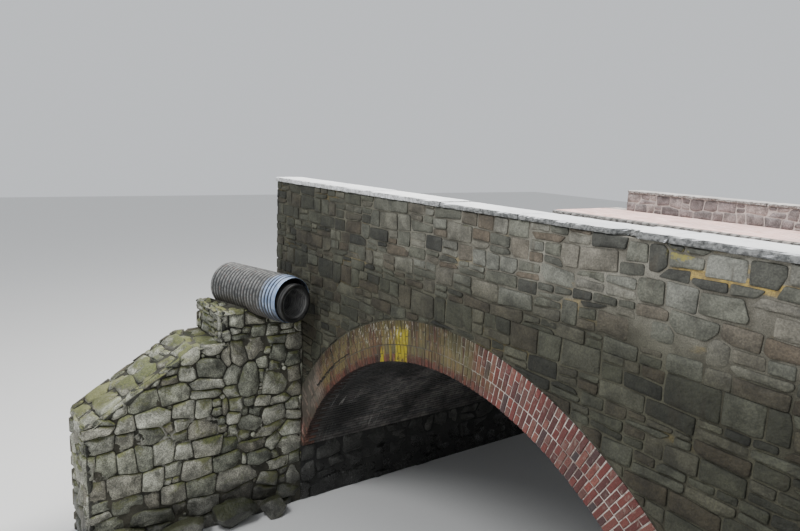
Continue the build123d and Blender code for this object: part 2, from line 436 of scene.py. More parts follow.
def layFace(heap, plane, length, height, style, seed, trims=(), circle=None, seeds=(), skip=None, kind=1):
    rng = random.Random(seed)
    chosen = list(seeds)
    for stone in coursedStones(length, height, style, rng):
        u, v, w, h = stone[:4]
        if not any(abs(u - s[0]) < (w * 0.6 + s[2]) / 2 and abs(v - s[1]) < (h * 0.6 + s[3]) / 2 for s in seeds):
            chosen.append(stone)
    if style["smallestPin"]:
        chosen = fillHoles(chosen, length, height, style["smallestPin"])
    wave = style["wave"]
    chosen = [(u, v + wave * noise.noise(Vector((u * 0.9 + seed, v * 0.6, 3.1))), *rest) for u, v, *rest in chosen]
    edges = [((0, 0), (-1, 0)), ((length, 0), (1, 0)), ((0, 0), (0, -1)), ((0, height), (0, 1)), *trims]
    outlines = fitStones(chosen, style, rng)
    laid = [(poly, stone[5], style) for stone, poly in zip(chosen, outlines)]
    if style["pinGap"]:
        small = {**style, **pinned, "lift": style["lift"] - 0.016}
        laid += [(poly, rng.random(), small) for poly in pinGaps(outlines, length, height, style["pinGap"], rng)]
    for poly, tone, shape in laid:
        for point, normal in edges:
            poly = clip(poly, point, normal) if len(poly) > 2 else []
        if circle:
            poly = keepOffCircle(poly, *circle)
        if len(poly) > 2 and not (skip and skip(*middleOf(poly))):
            addStone(heap, plane, poly, shape, rng, kind, tone)


# how each kind of masonry is laid

boulders = {
    "courseHeight": (0.2, 0.38), "stoneLength": (0.22, 0.6), "splitShare": 0.22, "jitter": 0.12, "wave": 0.04,
    "turn": 0.24, "squareness": 2.9, "sides": 11, "ragged": 0.08, "spread": 1.42, "lean": 0.16, "gap": 0.006,
    "cornerRadius": 0.026, "spacing": 0.09, "smallestPin": 0.1, "depth": 0.14, "edge": 0.028, "bulge": 0.05,
    "usualSize": 0.32, "lift": 0.002, "step": 0.034, "facets": 4, "facetTilt": 0.3, "rough": 0.026, "roughScale": 6,
    "innerRings": (0.75, 0.42), "smallest": 0.0012, "limit": 0.05, "fine": True, "pinGap": 0.022,
}
pinned = {"innerRings": (), "edge": 0.014, "bulge": 0.02, "step": 0.012, "facetTilt": 0.15, "fine": False,
          "smallest": 0.0006, "cornerRadius": 0.012, "spacing": 1}
squaredRubble = {
    "courseHeight": (0.13, 0.27), "stoneLength": (0.16, 0.48), "splitShare": 0.42, "jitter": 0.04, "wave": 0.05,
    "turn": 0.05, "squareness": 9, "sides": 20, "ragged": 0.0, "spread": 1.22, "lean": 0.07, "gap": 0.014,
    "cornerRadius": 0.017, "spacing": 0.13, "smallestPin": 0, "depth": 0.05, "edge": 0.012, "bulge": 0.012,
    "usualSize": 0.2, "lift": 0.003, "step": 0.01, "facets": 3, "facetTilt": 0.055, "rough": 0.014,
    "roughScale": 11, "innerRings": (0.5,), "smallest": 0.001, "limit": 0.022, "fine": True, "pinGap": 0,
}
purpleRubble = {
    **squaredRubble, "stoneLength": (0.17, 0.44), "splitShare": 0.3, "gap": 0.012,
    "lean": 0.16, "turn": 0.12, "step": 0.005, "rough": 0.009, "lift": -0.001, "limit": 0.012, "facetTilt": 0.03,
    "squareness": 5, "sides": 14, "ragged": 0.05, "spread": 1.4, "spacing": 0.2, "fine": False,
}
backingRubble = {
    **boulders, "courseHeight": (0.22, 0.36), "stoneLength": (0.26, 0.56), "gap": 0.024,
    "turn": 0.08, "squareness": 4, "sides": 12, "ragged": 0.05, "spread": 1.2, "edge": 0.018, "bulge": 0.01,
    "lift": -0.016, "step": 0.012, "rough": 0.01, "spacing": 0.2, "innerRings": (), "depth": 0.06, "limit": -0.002,
    "facetTilt": 0.06, "smallest": 0.004, "smallestPin": 0, "fine": False, "pinGap": 0,
}
mortarBehind = {"boulders": 0.045, "squared": 0.014, "purple": 0.009, "backing": 0.026}


# nodes, for materials and for geometry


def nodeMaker(tree):
    def add(kind, inputs=None, **settings):
        node = tree.nodes.new(kind)
        for key, value in settings.items():
            setattr(node, key, value)
        for key, value in (inputs or {}).items():
            if isinstance(value, bpy.types.NodeSocket):
                tree.links.new(value, node.inputs[key])
            else:
                node.inputs[key].default_value = value
        return node
    return add


def newTree(name, treeKind, inputs, outputs):
    tree = bpy.data.node_groups.new(name, treeKind + "NodeTree")
    for way, sockets in (("INPUT", inputs), ("OUTPUT", outputs)):
        for label, kind, *value in sockets:
            socket = tree.interface.new_socket(label, in_out=way, socket_type="NodeSocket" + kind)
            if value:
                socket.default_value = value[0]
    add = nodeMaker(tree)
    return tree, add, add("NodeGroupInput").outputs


def onTree(*values):
    # adds nodes to the tree that these sockets are on
    return nodeMaker(next(value.id_data for value in values if isinstance(value, bpy.types.NodeSocket)))


def calc(operation, a, b=0.0, clamp=False):
    return onTree(a, b)("ShaderNodeMath", {0: a, 1: b}, operation=operation, use_clamp=clamp).outputs[0]


def times(first, *others):
    for other in others:
        first = calc("MULTIPLY", first, other)
    return first


def plus(first, *others):
    for other in others:
        first = calc("ADD", first, other)
    return first


def minus(a, b):
    return calc("SUBTRACT", a, b)


def centred(value, reach):
    # a noise value that goes as far below 0 as above it
    return times(minus(value, 0.5), reach)


def ramp(value, low, high, toLow=0.0, toHigh=1.0):
    return onTree(value)("ShaderNodeMapRange", {
        "Value": value, "From Min": low, "From Max": high, "To Min": toLow, "To Max": toHigh,
    }, interpolation_type="SMOOTHSTEP").outputs["Result"]


def mixColour(factor, a, b, blend="MIX"):
    a, b = (value if isinstance(value, bpy.types.NodeSocket) else (*value, 1) for value in (a, b))
    return onTree(factor, a, b)("ShaderNodeMix", {0: factor, 6: a, 7: b}, data_type="RGBA",
                                blend_type=blend).outputs[2]


def tinted(colour, by):
    return mixColour(1.0, colour, by, "MULTIPLY")


def noiseOf(where, scale, detail=4.0, rough=0.55, distortion=0.0):
    return onTree(where)("ShaderNodeTexNoise", {
        "Vector": where, "Scale": scale, "Detail": detail, "Roughness": rough, "Distortion": distortion,
    }).outputs[0]


def vector(operation, *values, output=0):
    return onTree(*values)("ShaderNodeVectorMath", dict(enumerate(values)), operation=operation).outputs[output]


def scaled(value, by):
    return onTree(value)("ShaderNodeVectorMath", {0: value, "Scale": by}, operation="SCALE").outputs[0]


def stretched(where, x, y, z):
    return vector("MULTIPLY", where, (x, y, z))


def objectPlace(add):
    return add("ShaderNodeTexCoord").outputs["Object"]


def partsOf(value):
    return onTree(value)("ShaderNodeSeparateXYZ", {0: value}).outputs


def buildMottle():
    # broad patches, fine speckle and a height for stone, brick and mortar
    tree, add, i = newTree("surfaceMottle", "Shader", [
        ("Patch Scale", "Float", 3.0), ("Speckle Scale", "Float", 60.0),
    ], [("Patch", "Float"), ("Speckle", "Float"), ("Height", "Float")])
    where = objectPlace(add)
    patch = noiseOf(where, i["Patch Scale"], 5, 0.6, 0.4)
    speckle = noiseOf(where, i["Speckle Scale"], 3, 0.65)
    mid = noiseOf(where, times(i["Patch Scale"], 6.0), 4, 0.6)
    height = plus(times(mid, 0.7), times(speckle, 0.3))
    add("NodeGroupOutput", {"Patch": patch, "Speckle": speckle, "Height": height})
    return tree


def buildMoss():
    # moss and algae like faces that look up, and gather in patches
    tree, add, i = newTree("mossCover", "Shader", [
        ("Amount", "Float", 0.5), ("Scale", "Float", 2.2),
    ], [("Mask", "Float"), ("Colour", "Color")])
    where = objectPlace(add)
    up = partsOf(add("ShaderNodeNewGeometry").outputs["Normal"])["Z"]
    patches = noiseOf(where, i["Scale"], 5, 0.62, 0.6)
    fuzz = noiseOf(where, 45.0, 3, 0.7)
    level = plus(patches, plus(times(up, 0.24), times(fuzz, 0.16)))
    start = minus(1.02, times(i["Amount"], 0.6))
    mask = ramp(level, start, plus(start, 0.2))
    colour = mixColour(ramp(fuzz, 0.3, 0.7), (0.035, 0.045, 0.012), (0.135, 0.15, 0.035))
    add("NodeGroupOutput", {"Mask": mask, "Colour": colour})
    return tree


def buildDamp():
    # dark and wet near the foot, with an uneven edge
    tree, add, i = newTree("dampFoot", "Shader", [
        ("Level", "Float", 0.4), ("Softness", "Float", 0.25),
    ], [("Mask", "Float")])
    where = objectPlace(add)
    height = plus(partsOf(where)["Z"], centred(noiseOf(where, 1.7, 3), 0.9))
    mask = ramp(height, i["Level"], plus(i["Level"], i["Softness"]), 1.0, 0.0)
    add("NodeGroupOutput", {"Mask": mask})
    return tree


def buildStreaks():
    # what runs down a wall: damp marks, lime and dirt
    tree, add, i = newTree("runStreaks", "Shader", [
        ("Width Scale", "Float", 9.0), ("Amount", "Float", 0.5),
    ], [("Mask", "Float")])
    where = objectPlace(add)
    lines = noiseOf(stretched(where, 1, 1, 0.12), i["Width Scale"], 4, 0.6, 0.3)
    breaks = noiseOf(where, 1.3, 3, 0.6)
    level = plus(times(lines, 0.65), times(breaks, 0.35))
    start = minus(0.66, times(i["Amount"], 0.24))
    mask = ramp(level, start, plus(start, 0.09))
    add("NodeGroupOutput", {"Mask": mask})
    return tree


archStains = {
    "ochre": (0.116, 0.097, 0.038), "olive": (0.072, 0.075, 0.031), "ochreFrom": -2.95, "ochreTo": 0.5, "fade": 0.7,
    "yellow": (0.27, 0.22, 0.007), "yellowRuns": ((-0.895, 0.145, 1.0, 0.42), (-1.11, 0.044, 0.45, 0.36),
                                                   (-1.3, 0.046, 0.95, 0.16)),
    "foot": (0.26, 0.135, 0.11), "footGrey": (0.17, 0.15, 0.125), "lime": (0.4, 0.375, 0.31),
    "cracks": (((-3.03, 2.13), (-2.53, 2.61), 0.02), ((-2.53, 2.61), (-2.12, 2.89), 0.012),
               ((-3.36, 2.22), (-2.92, 2.63), 0.012), ((-2.63, 2.80), (-2.52, 2.60), 0.011)),
}


def buildCrack():
    # a dark ragged line on the arch's face between two points
    tree, add, i = newTree("crackLine", "Shader", [
        ("Start", "Vector"), ("End", "Vector"), ("Width", "Float", 0.01),
    ], [("Mask", "Float")])
    where = objectPlace(add)
    flat = stretched(where, 1, 0, 1)
    rough = add("ShaderNodeTexNoise", {"Vector": where, "Scale": 9.0, "Detail": 3.0}).outputs[1]
    rough = vector("SUBTRACT", rough, (0.5, 0.5, 0.5))
    flat = vector("MULTIPLY_ADD", rough, (0.09, 0, 0.09), flat)
    fromStart = vector("SUBTRACT", flat, i["Start"])
    span = vector("SUBTRACT", i["End"], i["Start"])
    dot = vector("DOT_PRODUCT", fromStart, span, output=1)
    square = vector("DOT_PRODUCT", span, span, output=1)
    share = calc("DIVIDE", dot, square, clamp=True)
    off = vector("DISTANCE", fromStart, scaled(span, share), output=1)
    mask = ramp(off, times(i["Width"], 0.5), i["Width"], 1.0, 0.0)
    add("NodeGroupOutput", {"Mask": mask})
    return tree


def buildArchStain(crackTree):
    # the marks on the face of the arch: ochre damp over its left half, yellow runs, cracks, lime, and a red foot
    s = archStains
    tree, add, i = newTree("archStain", "Shader", [
        ("Color", "Color", (0.3, 0.1, 0.08, 1)), ("Strength", "Float", 1.0),
    ], [("Color", "Color"), ("Crack", "Float")])
    where = objectPlace(add)
    parts = partsOf(where)
    wander = centred(noiseOf(where, 1.6, 4, 0.65), 1.4)
    x = plus(parts["X"], wander)
    halfFade = s["fade"] / 2
    left = ramp(x, s["ochreFrom"] - halfFade, s["ochreFrom"] + halfFade)
    right = ramp(x, s["ochreTo"] - halfFade, s["ochreTo"] + halfFade, 1.0, 0.0)
    streak = noiseOf(stretched(where, 1, 1, 0.12), 15.0, 5, 0.65, 0.3)
    drop = minus(parts["Z"], archZ)
    radius = calc("SQRT", plus(times(parts["X"], parts["X"]), times(drop, drop)))
    ragged = plus(radius, centred(noiseOf(where, 9.0, 4, 0.7), 0.22))
    inner = ramp(ragged, innerRadius + 0.04, innerRadius + 0.13, 0.15, 1.0)
    ochre = times(left, right, inner, ramp(streak, 0.3, 0.56, 0.2, 0.85), i["Strength"])
    olive = mixColour(times(ramp(parts["X"], -1.7, -0.3), ramp(noiseOf(where, 3.0, 4, 0.6), 0.35, 0.6)), s["ochre"],
                      s["olive"])
    colour = mixColour(ochre, i["Color"], olive)
    # the foot is worn and coated in red dust, greyer above
    footTop = plus(parts["Z"], times(wander, 0.5))
    foot = ramp(x, -3.2, -2.7, 0.8, 0.0)
    footColour = mixColour(ramp(footTop, 1.25, 1.75), s["foot"], s["footGrey"])
    colour = mixColour(foot, colour, footColour)
    dust = times(ramp(noiseOf(where, 12.0, 4, 0.65), 0.5, 0.62), times(foot, ramp(footTop, 1.2, 1.4, 0.8, 0.0)))
    colour = mixColour(dust, colour, (0.42, 0.28, 0.24))
    dark = mixColour(ramp(streak, 0.3, 0.6), (0.34, 0.35, 0.32), (1.12, 1.12, 1.08))
    colour = mixColour(times(right, 0.85), colour, tinted(colour, dark))
    # darker along its upper edge and at its rim
    edge = ramp(ragged, innerRadius + 0.27, innerRadius + 0.5)
    rim = ramp(ragged, innerRadius + 0.04, innerRadius + 0.13, 1.0, 0.0)
    colour = mixColour(times(edge, times(right, 0.75)), colour, tinted(colour, (0.42, 0.45, 0.41)))
    colour = mixColour(times(rim, times(right, 0.8)), colour, tinted(colour, (0.56, 0.48, 0.42)))
    fine = noiseOf(stretched(where, 1, 1, 0.06), 24.0, 4, 0.65)
    fade = noiseOf(where, 7.0, 3, 0.6)
    for middle, reach, strength, rise in s["yellowRuns"]:
        off = plus(calc("ABSOLUTE", minus(parts["X"], middle)), centred(fine, 0.13))
        top = plus(radius, centred(fine, 0.3))
        band = times(ramp(off, reach * 0.75, reach, strength, 0.0),
                     ramp(top, innerRadius + rise - 0.05, innerRadius + rise + 0.04, 1.0, 0.1),
                     ramp(fade, 0.3, 0.5, 0.35, 1.0), i["Strength"])
        colour = mixColour(band, colour, s["yellow"])
    flecks = noiseOf(stretched(where, 1, 1, 0.3), 30.0, 3, 0.6)
    cluster = ramp(calc("ABSOLUTE", plus(parts["X"], 1.35)), 0.3, 0.9, 1.0, 0.3)
    upper = ramp(radius, innerRadius + 0.18, innerRadius + 0.36, 0.1, 1.0)
    lime = times(ramp(flecks, 0.57, 0.62), upper, times(left, cluster, i["Strength"]))
    colour = mixColour(times(lime, 0.65), colour, s["lime"])
    chips = times(ramp(noiseOf(where, 16.0, 2, 0.5), 0.6, 0.66),
                  ramp(radius, innerRadius + 0.05, innerRadius + 0.1, 0.75, 0.0))
    colour = mixColour(times(chips, right), colour, (0.02, 0.014, 0.01))
    crack = None
    for (x0, z0), (x1, z1), width in s["cracks"]:
        line = add("ShaderNodeGroup", {"Start": (x0, 0, z0), "End": (x1, 0, z1), "Width": width},
                   node_tree=crackTree).outputs["Mask"]
        crack = calc("MAXIMUM", crack, line) if crack else line
    colour = mixColour(times(crack, 0.95), colour, (0.006, 0.005, 0.004))
    # painted shade: faces that do not look out of the arch's face, the soffit most of all, are darker
    facing = calc("ABSOLUTE", partsOf(add("ShaderNodeNewGeometry").outputs["True Normal"])["Y"])
    soffitShade = times(ramp(facing, 0.3, 0.7, 0.85, 0.0), ramp(parts["Z"], springing + 0.05, springing + 0.3))
    colour = mixColour(soffitShade, colour, tinted(colour, (0.22, 0.24, 0.26)))
    add("NodeGroupOutput", {"Color": colour, "Crack": crack})
    return tree


def buildFaceShade():
    # painted shade, with some damp: the face is darker towards its left end and below the parapet
    tree, add, i = newTree("faceShade", "Shader", [
        ("Color", "Color"), ("Strength", "Float", 1.0),
    ], [("Color", "Color")])
    where = objectPlace(add)
    parts = partsOf(where)
    broad = minus(noiseOf(where, 1.1, 4, 0.6), 0.5)
    left = ramp(plus(parts["X"], times(broad, 2.5)), -4.0, 2.6, 1.0, 0.0)
    low = ramp(plus(parts["Z"], times(broad, 0.6)), 4.0, 4.85, 1.0, 0.0)
    shade = times(calc("MAXIMUM", left, low), i["Strength"], ramp(parts["Y"], -1.0, 1.0, 1.0, 0.5))
    dim = tinted(i["Color"], (0.3, 0.305, 0.25))
    add("NodeGroupOutput", {"Color": mixColour(shade, i["Color"], dim)})
    return tree


groups = {
    "mottle": buildMottle(), "moss": buildMoss(), "damp": buildDamp(), "streaks": buildStreaks(),
    "archStain": buildArchStain(buildCrack()), "faceShade": buildFaceShade(),
}


def newMaterial(name):
    material = bpy.data.materials.new(name)
    material.use_nodes = True
    material.node_tree.nodes.clear()
    return material, nodeMaker(material.node_tree)


def finishMaterial(material, colour, roughness, height=None, strength=1.0, depth=0.01, metallic=0.0):
    add = nodeMaker(material.node_tree)
    inputs = {"Base Color": colour, "Roughness": roughness, "Metallic": metallic}
    if height:
        bump = add("ShaderNodeBump", {"Strength": strength, "Distance": depth, "Height": height})
        inputs["Normal"] = bump.outputs[0]
    add("ShaderNodeOutputMaterial", {"Surface": add("ShaderNodeBsdfPrincipled", inputs).outputs[0]})
    return material


def useGroup(add, name, **inputs):
    # patchScale is the group's input Patch Scale, and so on
    inputs = {"".join(" " + c if c.isupper() else c for c in key).title(): value for key, value in inputs.items()}
    return add("ShaderNodeGroup", inputs, node_tree=groups[name]).outputs


def grey(value):
    return onTree(value)("ShaderNodeCombineColor", {0: value, 1: value, 2: value}).outputs[0]


def toneRamp(value, colours):
    node = onTree(value)("ShaderNodeValToRGB", {0: value})
    stops = node.color_ramp.elements
    while len(stops) < len(colours):
        stops.new(0.5)
    for k, colour in enumerate(colours):
        stops[k].position = k / (len(colours) - 1)
        stops[k].color = (*colour, 1)
    return node.outputs[0]


def attribute(add, name):
    return add("ShaderNodeAttribute", attribute_name=name, attribute_type="GEOMETRY").outputs["Fac"]


def mottledTone(add, s, speckleFrom):
    # a tone for each unit, with patches and speckle
    mottle = useGroup(add, "mottle", patchScale=s["patchScale"], speckleScale=s["speckleScale"])
    colour = toneRamp(attribute(add, "tone"), s["tones"])
    colour = tinted(colour, mixColour(ramp(mottle["Patch"], 0.3, 0.7), s["patchDark"], s["patchLight"]))
    grain = mixColour(ramp(mottle["Speckle"], speckleFrom, 0.68), s["grainDark"], s["grainLight"])
    return mottle, tinted(colour, grain)


def stoneMaterial(name, s):
    # natural stone: a tone for each block, patches, moss, lichen, lime, a wet foot, darker edges and sides down into
    # the joints, and painted shade over some faces
    material, add = newMaterial(name)
    mottle, colour = mottledTone(add, s, 0.35)
    streaks = useGroup(add, "streaks", widthScale=s["streakScale"], amount=s["streaks"])["Mask"]
    colour = mixColour(times(streaks, 0.6), colour, s["streakColour"])
    moss = useGroup(add, "moss", amount=s["moss"], scale=s["mossScale"])
    hue = mixColour(attribute(add, "tint"), moss["Colour"], s["mossTint"])
    colour = mixColour(times(moss["Mask"], s["mossStrength"]), colour, hue)
    where = objectPlace(add)
    spots = noiseOf(where, s["lichenScale"], 4, 0.7, 0.3)
    start = 0.78 - 0.2 * s["lichen"]
    lichen = ramp(spots, start, start + 0.05)
    colour = mixColour(times(lichen, 0.75), colour, s["lichenColour"])
    # darker at each stone's edges and down its sides into the joint
    rim = ramp(attribute(add, "rim"), 0.0, s["jointReach"], s["jointDarkening"], 1.0)
    colour = tinted(colour, grey(rim))
    damp = useGroup(add, "damp", level=s["dampLevel"], softness=s["dampFade"])["Mask"]
    colour = mixColour(times(damp, 0.85), colour, tinted(colour, (0.2, 0.2, 0.21)))
    if s["faceShade"]:
        colour = useGroup(add, "faceShade", color=colour, strength=s["faceShade"])["Color"]
    for x, z, reach, hue in s["spots"]:
        away = vector("DISTANCE", stretched(where, 1, 0, 1), (x, 0, z), output=1)
        away = plus(away, centred(mottle["Height"], 0.3))
        colour = mixColour(ramp(away, reach * 0.4, reach, 0.8, 0.0), colour, hue)
    dry = ramp(mottle["Height"], 0.3, 0.7, s["roughness"] - 0.1, s["roughness"] + 0.08)
    roughness = minus(dry, times(damp, 0.35))
    height = plus(mottle["Height"], times(moss["Mask"], 0.25))
    return finishMaterial(material, colour, roughness, height, s["bump"], s["bumpDepth"])


wallStone = {
    "patchScale": 4.6, "speckleScale": 60, "patchDark": (0.42, 0.42, 0.4), "patchLight": (1.55, 1.55, 1.48),
    "grainDark": (0.55, 0.55, 0.55), "grainLight": (1.45, 1.45, 1.42),
    "tones": [(0.11, 0.115, 0.1), (0.22, 0.225, 0.185), (0.29, 0.29, 0.255), (0.16, 0.15, 0.125),
              (0.36, 0.36, 0.32), (0.14, 0.145, 0.12)],
    "streakScale": 8, "streaks": 0.3, "streakColour": (0.06, 0.057, 0.045),
    "moss": 0.66, "mossScale": 2.6, "mossStrength": 0.8, "mossTint": (0.155, 0.16, 0.05),
    "lichen": 0.42, "lichenScale": 7, "lichenColour": (0.45, 0.45, 0.39), "jointDarkening": 0.2, "jointReach": 0.45,
    "dampLevel": 0.3, "dampFade": 0.7, "roughness": 0.85, "bump": 0.9, "bumpDepth": 0.03, "faceShade": 0,
    "spots": (),
}
materials = {}
materials["boulder"] = stoneMaterial("boulderStone", wallStone)
# stone under the arch: wet, and its very dark tones partly painted shade
materials["wetShadedStone"] = stoneMaterial("wetShadedStone", {
    **wallStone, "tones": [(0.036, 0.036, 0.034), (0.058, 0.058, 0.055), (0.08, 0.079, 0.074)], "moss": 0.1,
    "lichen": 0.1, "lichenColour": (0.16, 0.16, 0.15), "streaks": 0.1, "roughness": 0.6,
})
materials["squared"] = stoneMaterial("squaredStone", {
    **wallStone, "patchScale": 4.5,
    "tones": [(0.06, 0.06, 0.054), (0.14, 0.14, 0.115), (0.195, 0.195, 0.175), (0.125, 0.1, 0.076),
              (0.24, 0.235, 0.205)],
    "moss": 0.36, "mossStrength": 0.6, "mossTint": (0.13, 0.13, 0.06), "lichen": 0.3, "jointDarkening": 0.35,
    "jointReach": 0.8, "streaks": 0.45, "streakColour": (0.08, 0.068, 0.05), "dampLevel": -2.0, "bumpDepth": 0.024,
    "patchDark": (0.6, 0.6, 0.58), "patchLight": (1.32, 1.32, 1.28), "grainDark": (0.75, 0.75, 0.75),
    "grainLight": (1.22, 1.22, 1.2),
    "spots": ((2.59, 5.03, 0.05, (0.27, 0.24, 0.07)), (2.66, 5.025, 0.05, (0.27, 0.24, 0.07)),
              (2.71, 5.03, 0.035, (0.27, 0.24, 0.07))),
    "faceShade": 1.0,
})
materials["purple"] = stoneMaterial("purpleStone", {
    **wallStone, "patchScale": 6, "patchDark": (0.58, 0.57, 0.57), "patchLight": (1.35, 1.33, 1.33),
    "tones": [(0.085, 0.077, 0.079), (0.2, 0.175, 0.174), (0.155, 0.146, 0.15), (0.265, 0.232, 0.222),
              (0.11, 0.104, 0.107)],
    "moss": 0.12, "mossStrength": 0.4, "lichen": 0.3, "jointDarkening": 0.6, "jointReach": 0.8, "streaks": 0.15,
    "streakColour": (0.12, 0.09, 0.075), "dampLevel": -2.0, "bumpDepth": 0.012,
})
materials["backing"] = stoneMaterial("backingStone", {
    **wallStone, "patchScale": 3.5,
    "tones": [(0.12, 0.11, 0.09), (0.2, 0.185, 0.15), (0.26, 0.245, 0.2), (0.165, 0.14, 0.11)],
    "moss": 0.22, "mossStrength": 0.5, "lichen": 0.2, "jointDarkening": 0.5, "jointReach": 0.8,
    "streakColour": (0.1, 0.08, 0.055), "dampLevel": 0.1, "dampFade": 0.35, "bumpDepth": 0.015,
})


def mortarMaterial(name, light, dark, stain=0.0, moss=0.25, bumpDepth=0.01, shade=0.0, rusty=False, smears=False):
    # lime mortar in patches; the rest is for the place where it lies
    material, add = newMaterial(name)
    where = objectPlace(add)
    parts = partsOf(where)
    mottle = useGroup(add, "mottle", patchScale=2.6, speckleScale=90.0)
    colour = mixColour(ramp(mottle["Patch"], 0.3, 0.72), dark, light)
    grain = mixColour(ramp(mottle["Speckle"], 0.3, 0.7), (0.7, 0.7, 0.7), (1.18, 1.18, 1.16))
    colour = tinted(colour, grain)
    if rusty:
        # orange-brown pointing in a few beds
        bed = ramp(calc("ABSOLUTE", minus(parts["Z"], 4.9)), 0.03, 0.055, 1.0, 0.0)
        bed = times(bed, ramp(parts["X"], 2.5, 2.75))
        broad = ramp(noiseOf(stretched(where, 1, 1, 3), 1.1, 4, 0.6), 0.58, 0.66, 0.0, 0.5)
        hue = mixColour(ramp(mottle["Height"], 0.42, 0.6), (0.26, 0.19, 0.08), (0.52, 0.37, 0.1))
        colour = mixColour(times(calc("MAXIMUM", bed, broad), 0.9), colour, hue)
    if smears:
        # old lime that has run out of the joints
        zone = times(ramp(parts["Z"], 0.7, 1.0), ramp(parts["Z"], 1.7, 2.1, 1.0, 0.15))
        run = times(ramp(noiseOf(where, 3.4, 4, 0.65, 0.4), 0.53, 0.6), zone)
        colour = mixColour(times(run, 0.85), colour, (0.33, 0.325, 0.28))
    mossy = useGroup(add, "moss", amount=moss, scale=2.4)
    colour = mixColour(times(mossy["Mask"], 0.7), colour, mossy["Colour"])
    if stain:
        # some joints are dirty, and those of the arch's left half are dark
        hidden = ramp(noiseOf(where, 4.5, 4, 0.65, 0.3), 0.5, 0.6, 0.0, 0.7)
        colour = mixColour(hidden, colour, (0.13, 0.075, 0.06))
        colour = useGroup(add, "archStain", color=colour, strength=stain)["Color"]
        colour = mixColour(ramp(parts["X"], -0.5, 0.5, 0.7, 0.0), colour, (0.04, 0.034, 0.024))
    if shade:
        colour = useGroup(add, "faceShade", color=colour, strength=shade)["Color"]
    roughness = ramp(mottle["Height"], 0.3, 0.7, 0.86, 0.97)
    return finishMaterial(material, colour, roughness, mottle["Height"], 0.8, bumpDepth)


for name, values in {
    "deepJoint": dict(light=(0.075, 0.07, 0.052), dark=(0.02, 0.02, 0.015), moss=0.35, bumpDepth=0.03, smears=True),
    # joints under the arch: wet, and dark in part as painted shade
    "wetJoint": dict(light=(0.04, 0.04, 0.037), dark=(0.018, 0.018, 0.018), moss=0.0, bumpDepth=0.03),
    "paleMortar": dict(light=(0.3, 0.285, 0.24), dark=(0.12, 0.11, 0.088), moss=0.3, shade=1.0, rusty=True,
                       bumpDepth=0.03),
    "farMortar": dict(light=(0.47, 0.43, 0.41), dark=(0.27, 0.246, 0.233), moss=0.1, bumpDepth=0.015),
    "backingMortar": dict(light=(0.27, 0.245, 0.2), dark=(0.13, 0.115, 0.09), bumpDepth=0.025),
    "archMortar": dict(light=(0.56, 0.5, 0.455), dark=(0.38, 0.335, 0.3), stain=0.9, moss=0.12, bumpDepth=0.004),
    # the vault's joints, dark in part as painted shade
    "vaultMortar": dict(light=(0.05, 0.049, 0.047), dark=(0.024, 0.024, 0.023), moss=0.0),
}.items():
    materials[name] = mortarMaterial(name, **values)


def archBrickMaterial():
    material, add = newMaterial("archBrick")
    colour = toneRamp(attribute(add, "tone"), [
        (0.05, 0.037, 0.038), (0.102, 0.033, 0.029), (0.147, 0.039, 0.033), (0.082, 0.03, 0.028),
        (0.185, 0.052, 0.04), (0.12, 0.056, 0.047), (0.21, 0.076, 0.058),
    ])
    mottle = useGroup(add, "mottle", patchScale=9.0, speckleScale=120.0)
    grain = mixColour(ramp(mottle["Speckle"], 0.3, 0.7), (0.62, 0.6, 0.6), (1.3, 1.3, 1.3))
    colour = tinted(colour, grain)
    ash = times(ramp(mottle["Patch"], 0.52, 0.72), ramp(attribute(add, "tint"), 0.45, 1.0, 0.05, 0.6))
    colour = mixColour(ash, colour, (0.19, 0.15, 0.135))
    stain = useGroup(add, "archStain", color=colour, strength=1.0)
    roughness = ramp(mottle["Height"], 0.3, 0.7, 0.74, 0.92)
    height = minus(times(mottle["Height"], 0.4), stain["Crack"])
    return finishMaterial(material, stain["Color"], roughness, height, 0.8, 0.014)


def vaultBrickMaterial():
    # sooty wet brick, dark in part as painted shade of the arch's inside, with pale mineral lines along its bed
    # joints and runs down its left haunch
    material, add = newMaterial("vaultBrick")
    colour = toneRamp(attribute(add, "tone"), [
        (0.03, 0.03, 0.03), (0.048, 0.045, 0.044), (0.062, 0.056, 0.054), (0.04, 0.04, 0.039),
    ])
    mottle = useGroup(add, "mottle", patchScale=1.4, speckleScale=60.0)
    patch = mixColour(ramp(mottle["Patch"], 0.35, 0.66), (0.6, 0.6, 0.6), (2.5, 2.5, 2.45))
    colour = tinted(colour, patch)
    coarse = mixColour(ramp(mottle["Height"], 0.4, 0.6), (0.65, 0.65, 0.65), (1.4, 1.4, 1.38))
    colour = tinted(colour, coarse)
    where = objectPlace(add)
    parts = partsOf(where)
    x = parts["X"]
    wander = centred(mottle["Patch"], 1.6)
    # painted shade: darker just behind the near face and towards the right
    shade = times(ramp(plus(parts["Y"], wander), -4.2, -2.6, 0.45, 1.0), ramp(plus(x, wander), -1.5, 0.7, 1.0, 0.5))
    colour = tinted(colour, grey(shade))
    lines = noiseOf(stretched(where, 1, 0.22, 1), 8.0, 6, 0.75, 0.8)
    field = noiseOf(where, 0.8, 3, 0.6)
    mineral = times(ramp(lines, 0.6, 0.65), ramp(field, 0.4, 0.55), ramp(x, -1.6, 0.4, 1.0, 0.1))
    colour = mixColour(times(mineral, 0.28), colour, (0.3, 0.29, 0.27))
    falls = noiseOf(stretched(where, 0.03, 1, 0.03), 4.5, 2, 0.5)
    line = ramp(calc("ABSOLUTE", minus(falls, 0.5)), 0.0, 0.008, 1.0, 0.0)
    fall = times(line, ramp(noiseOf(where, 1.5, 4, 0.65), 0.5, 0.6), ramp(x, -2.2, -1.4, 1.0, 0.0))
    colour = mixColour(times(fall, 0.8), colour, (0.36, 0.35, 0.32))
    roughness = ramp(mottle["Height"], 0.3, 0.7, 0.5, 0.85)
    return finishMaterial(material, colour, roughness, mottle["Height"], 0.8, 0.01)


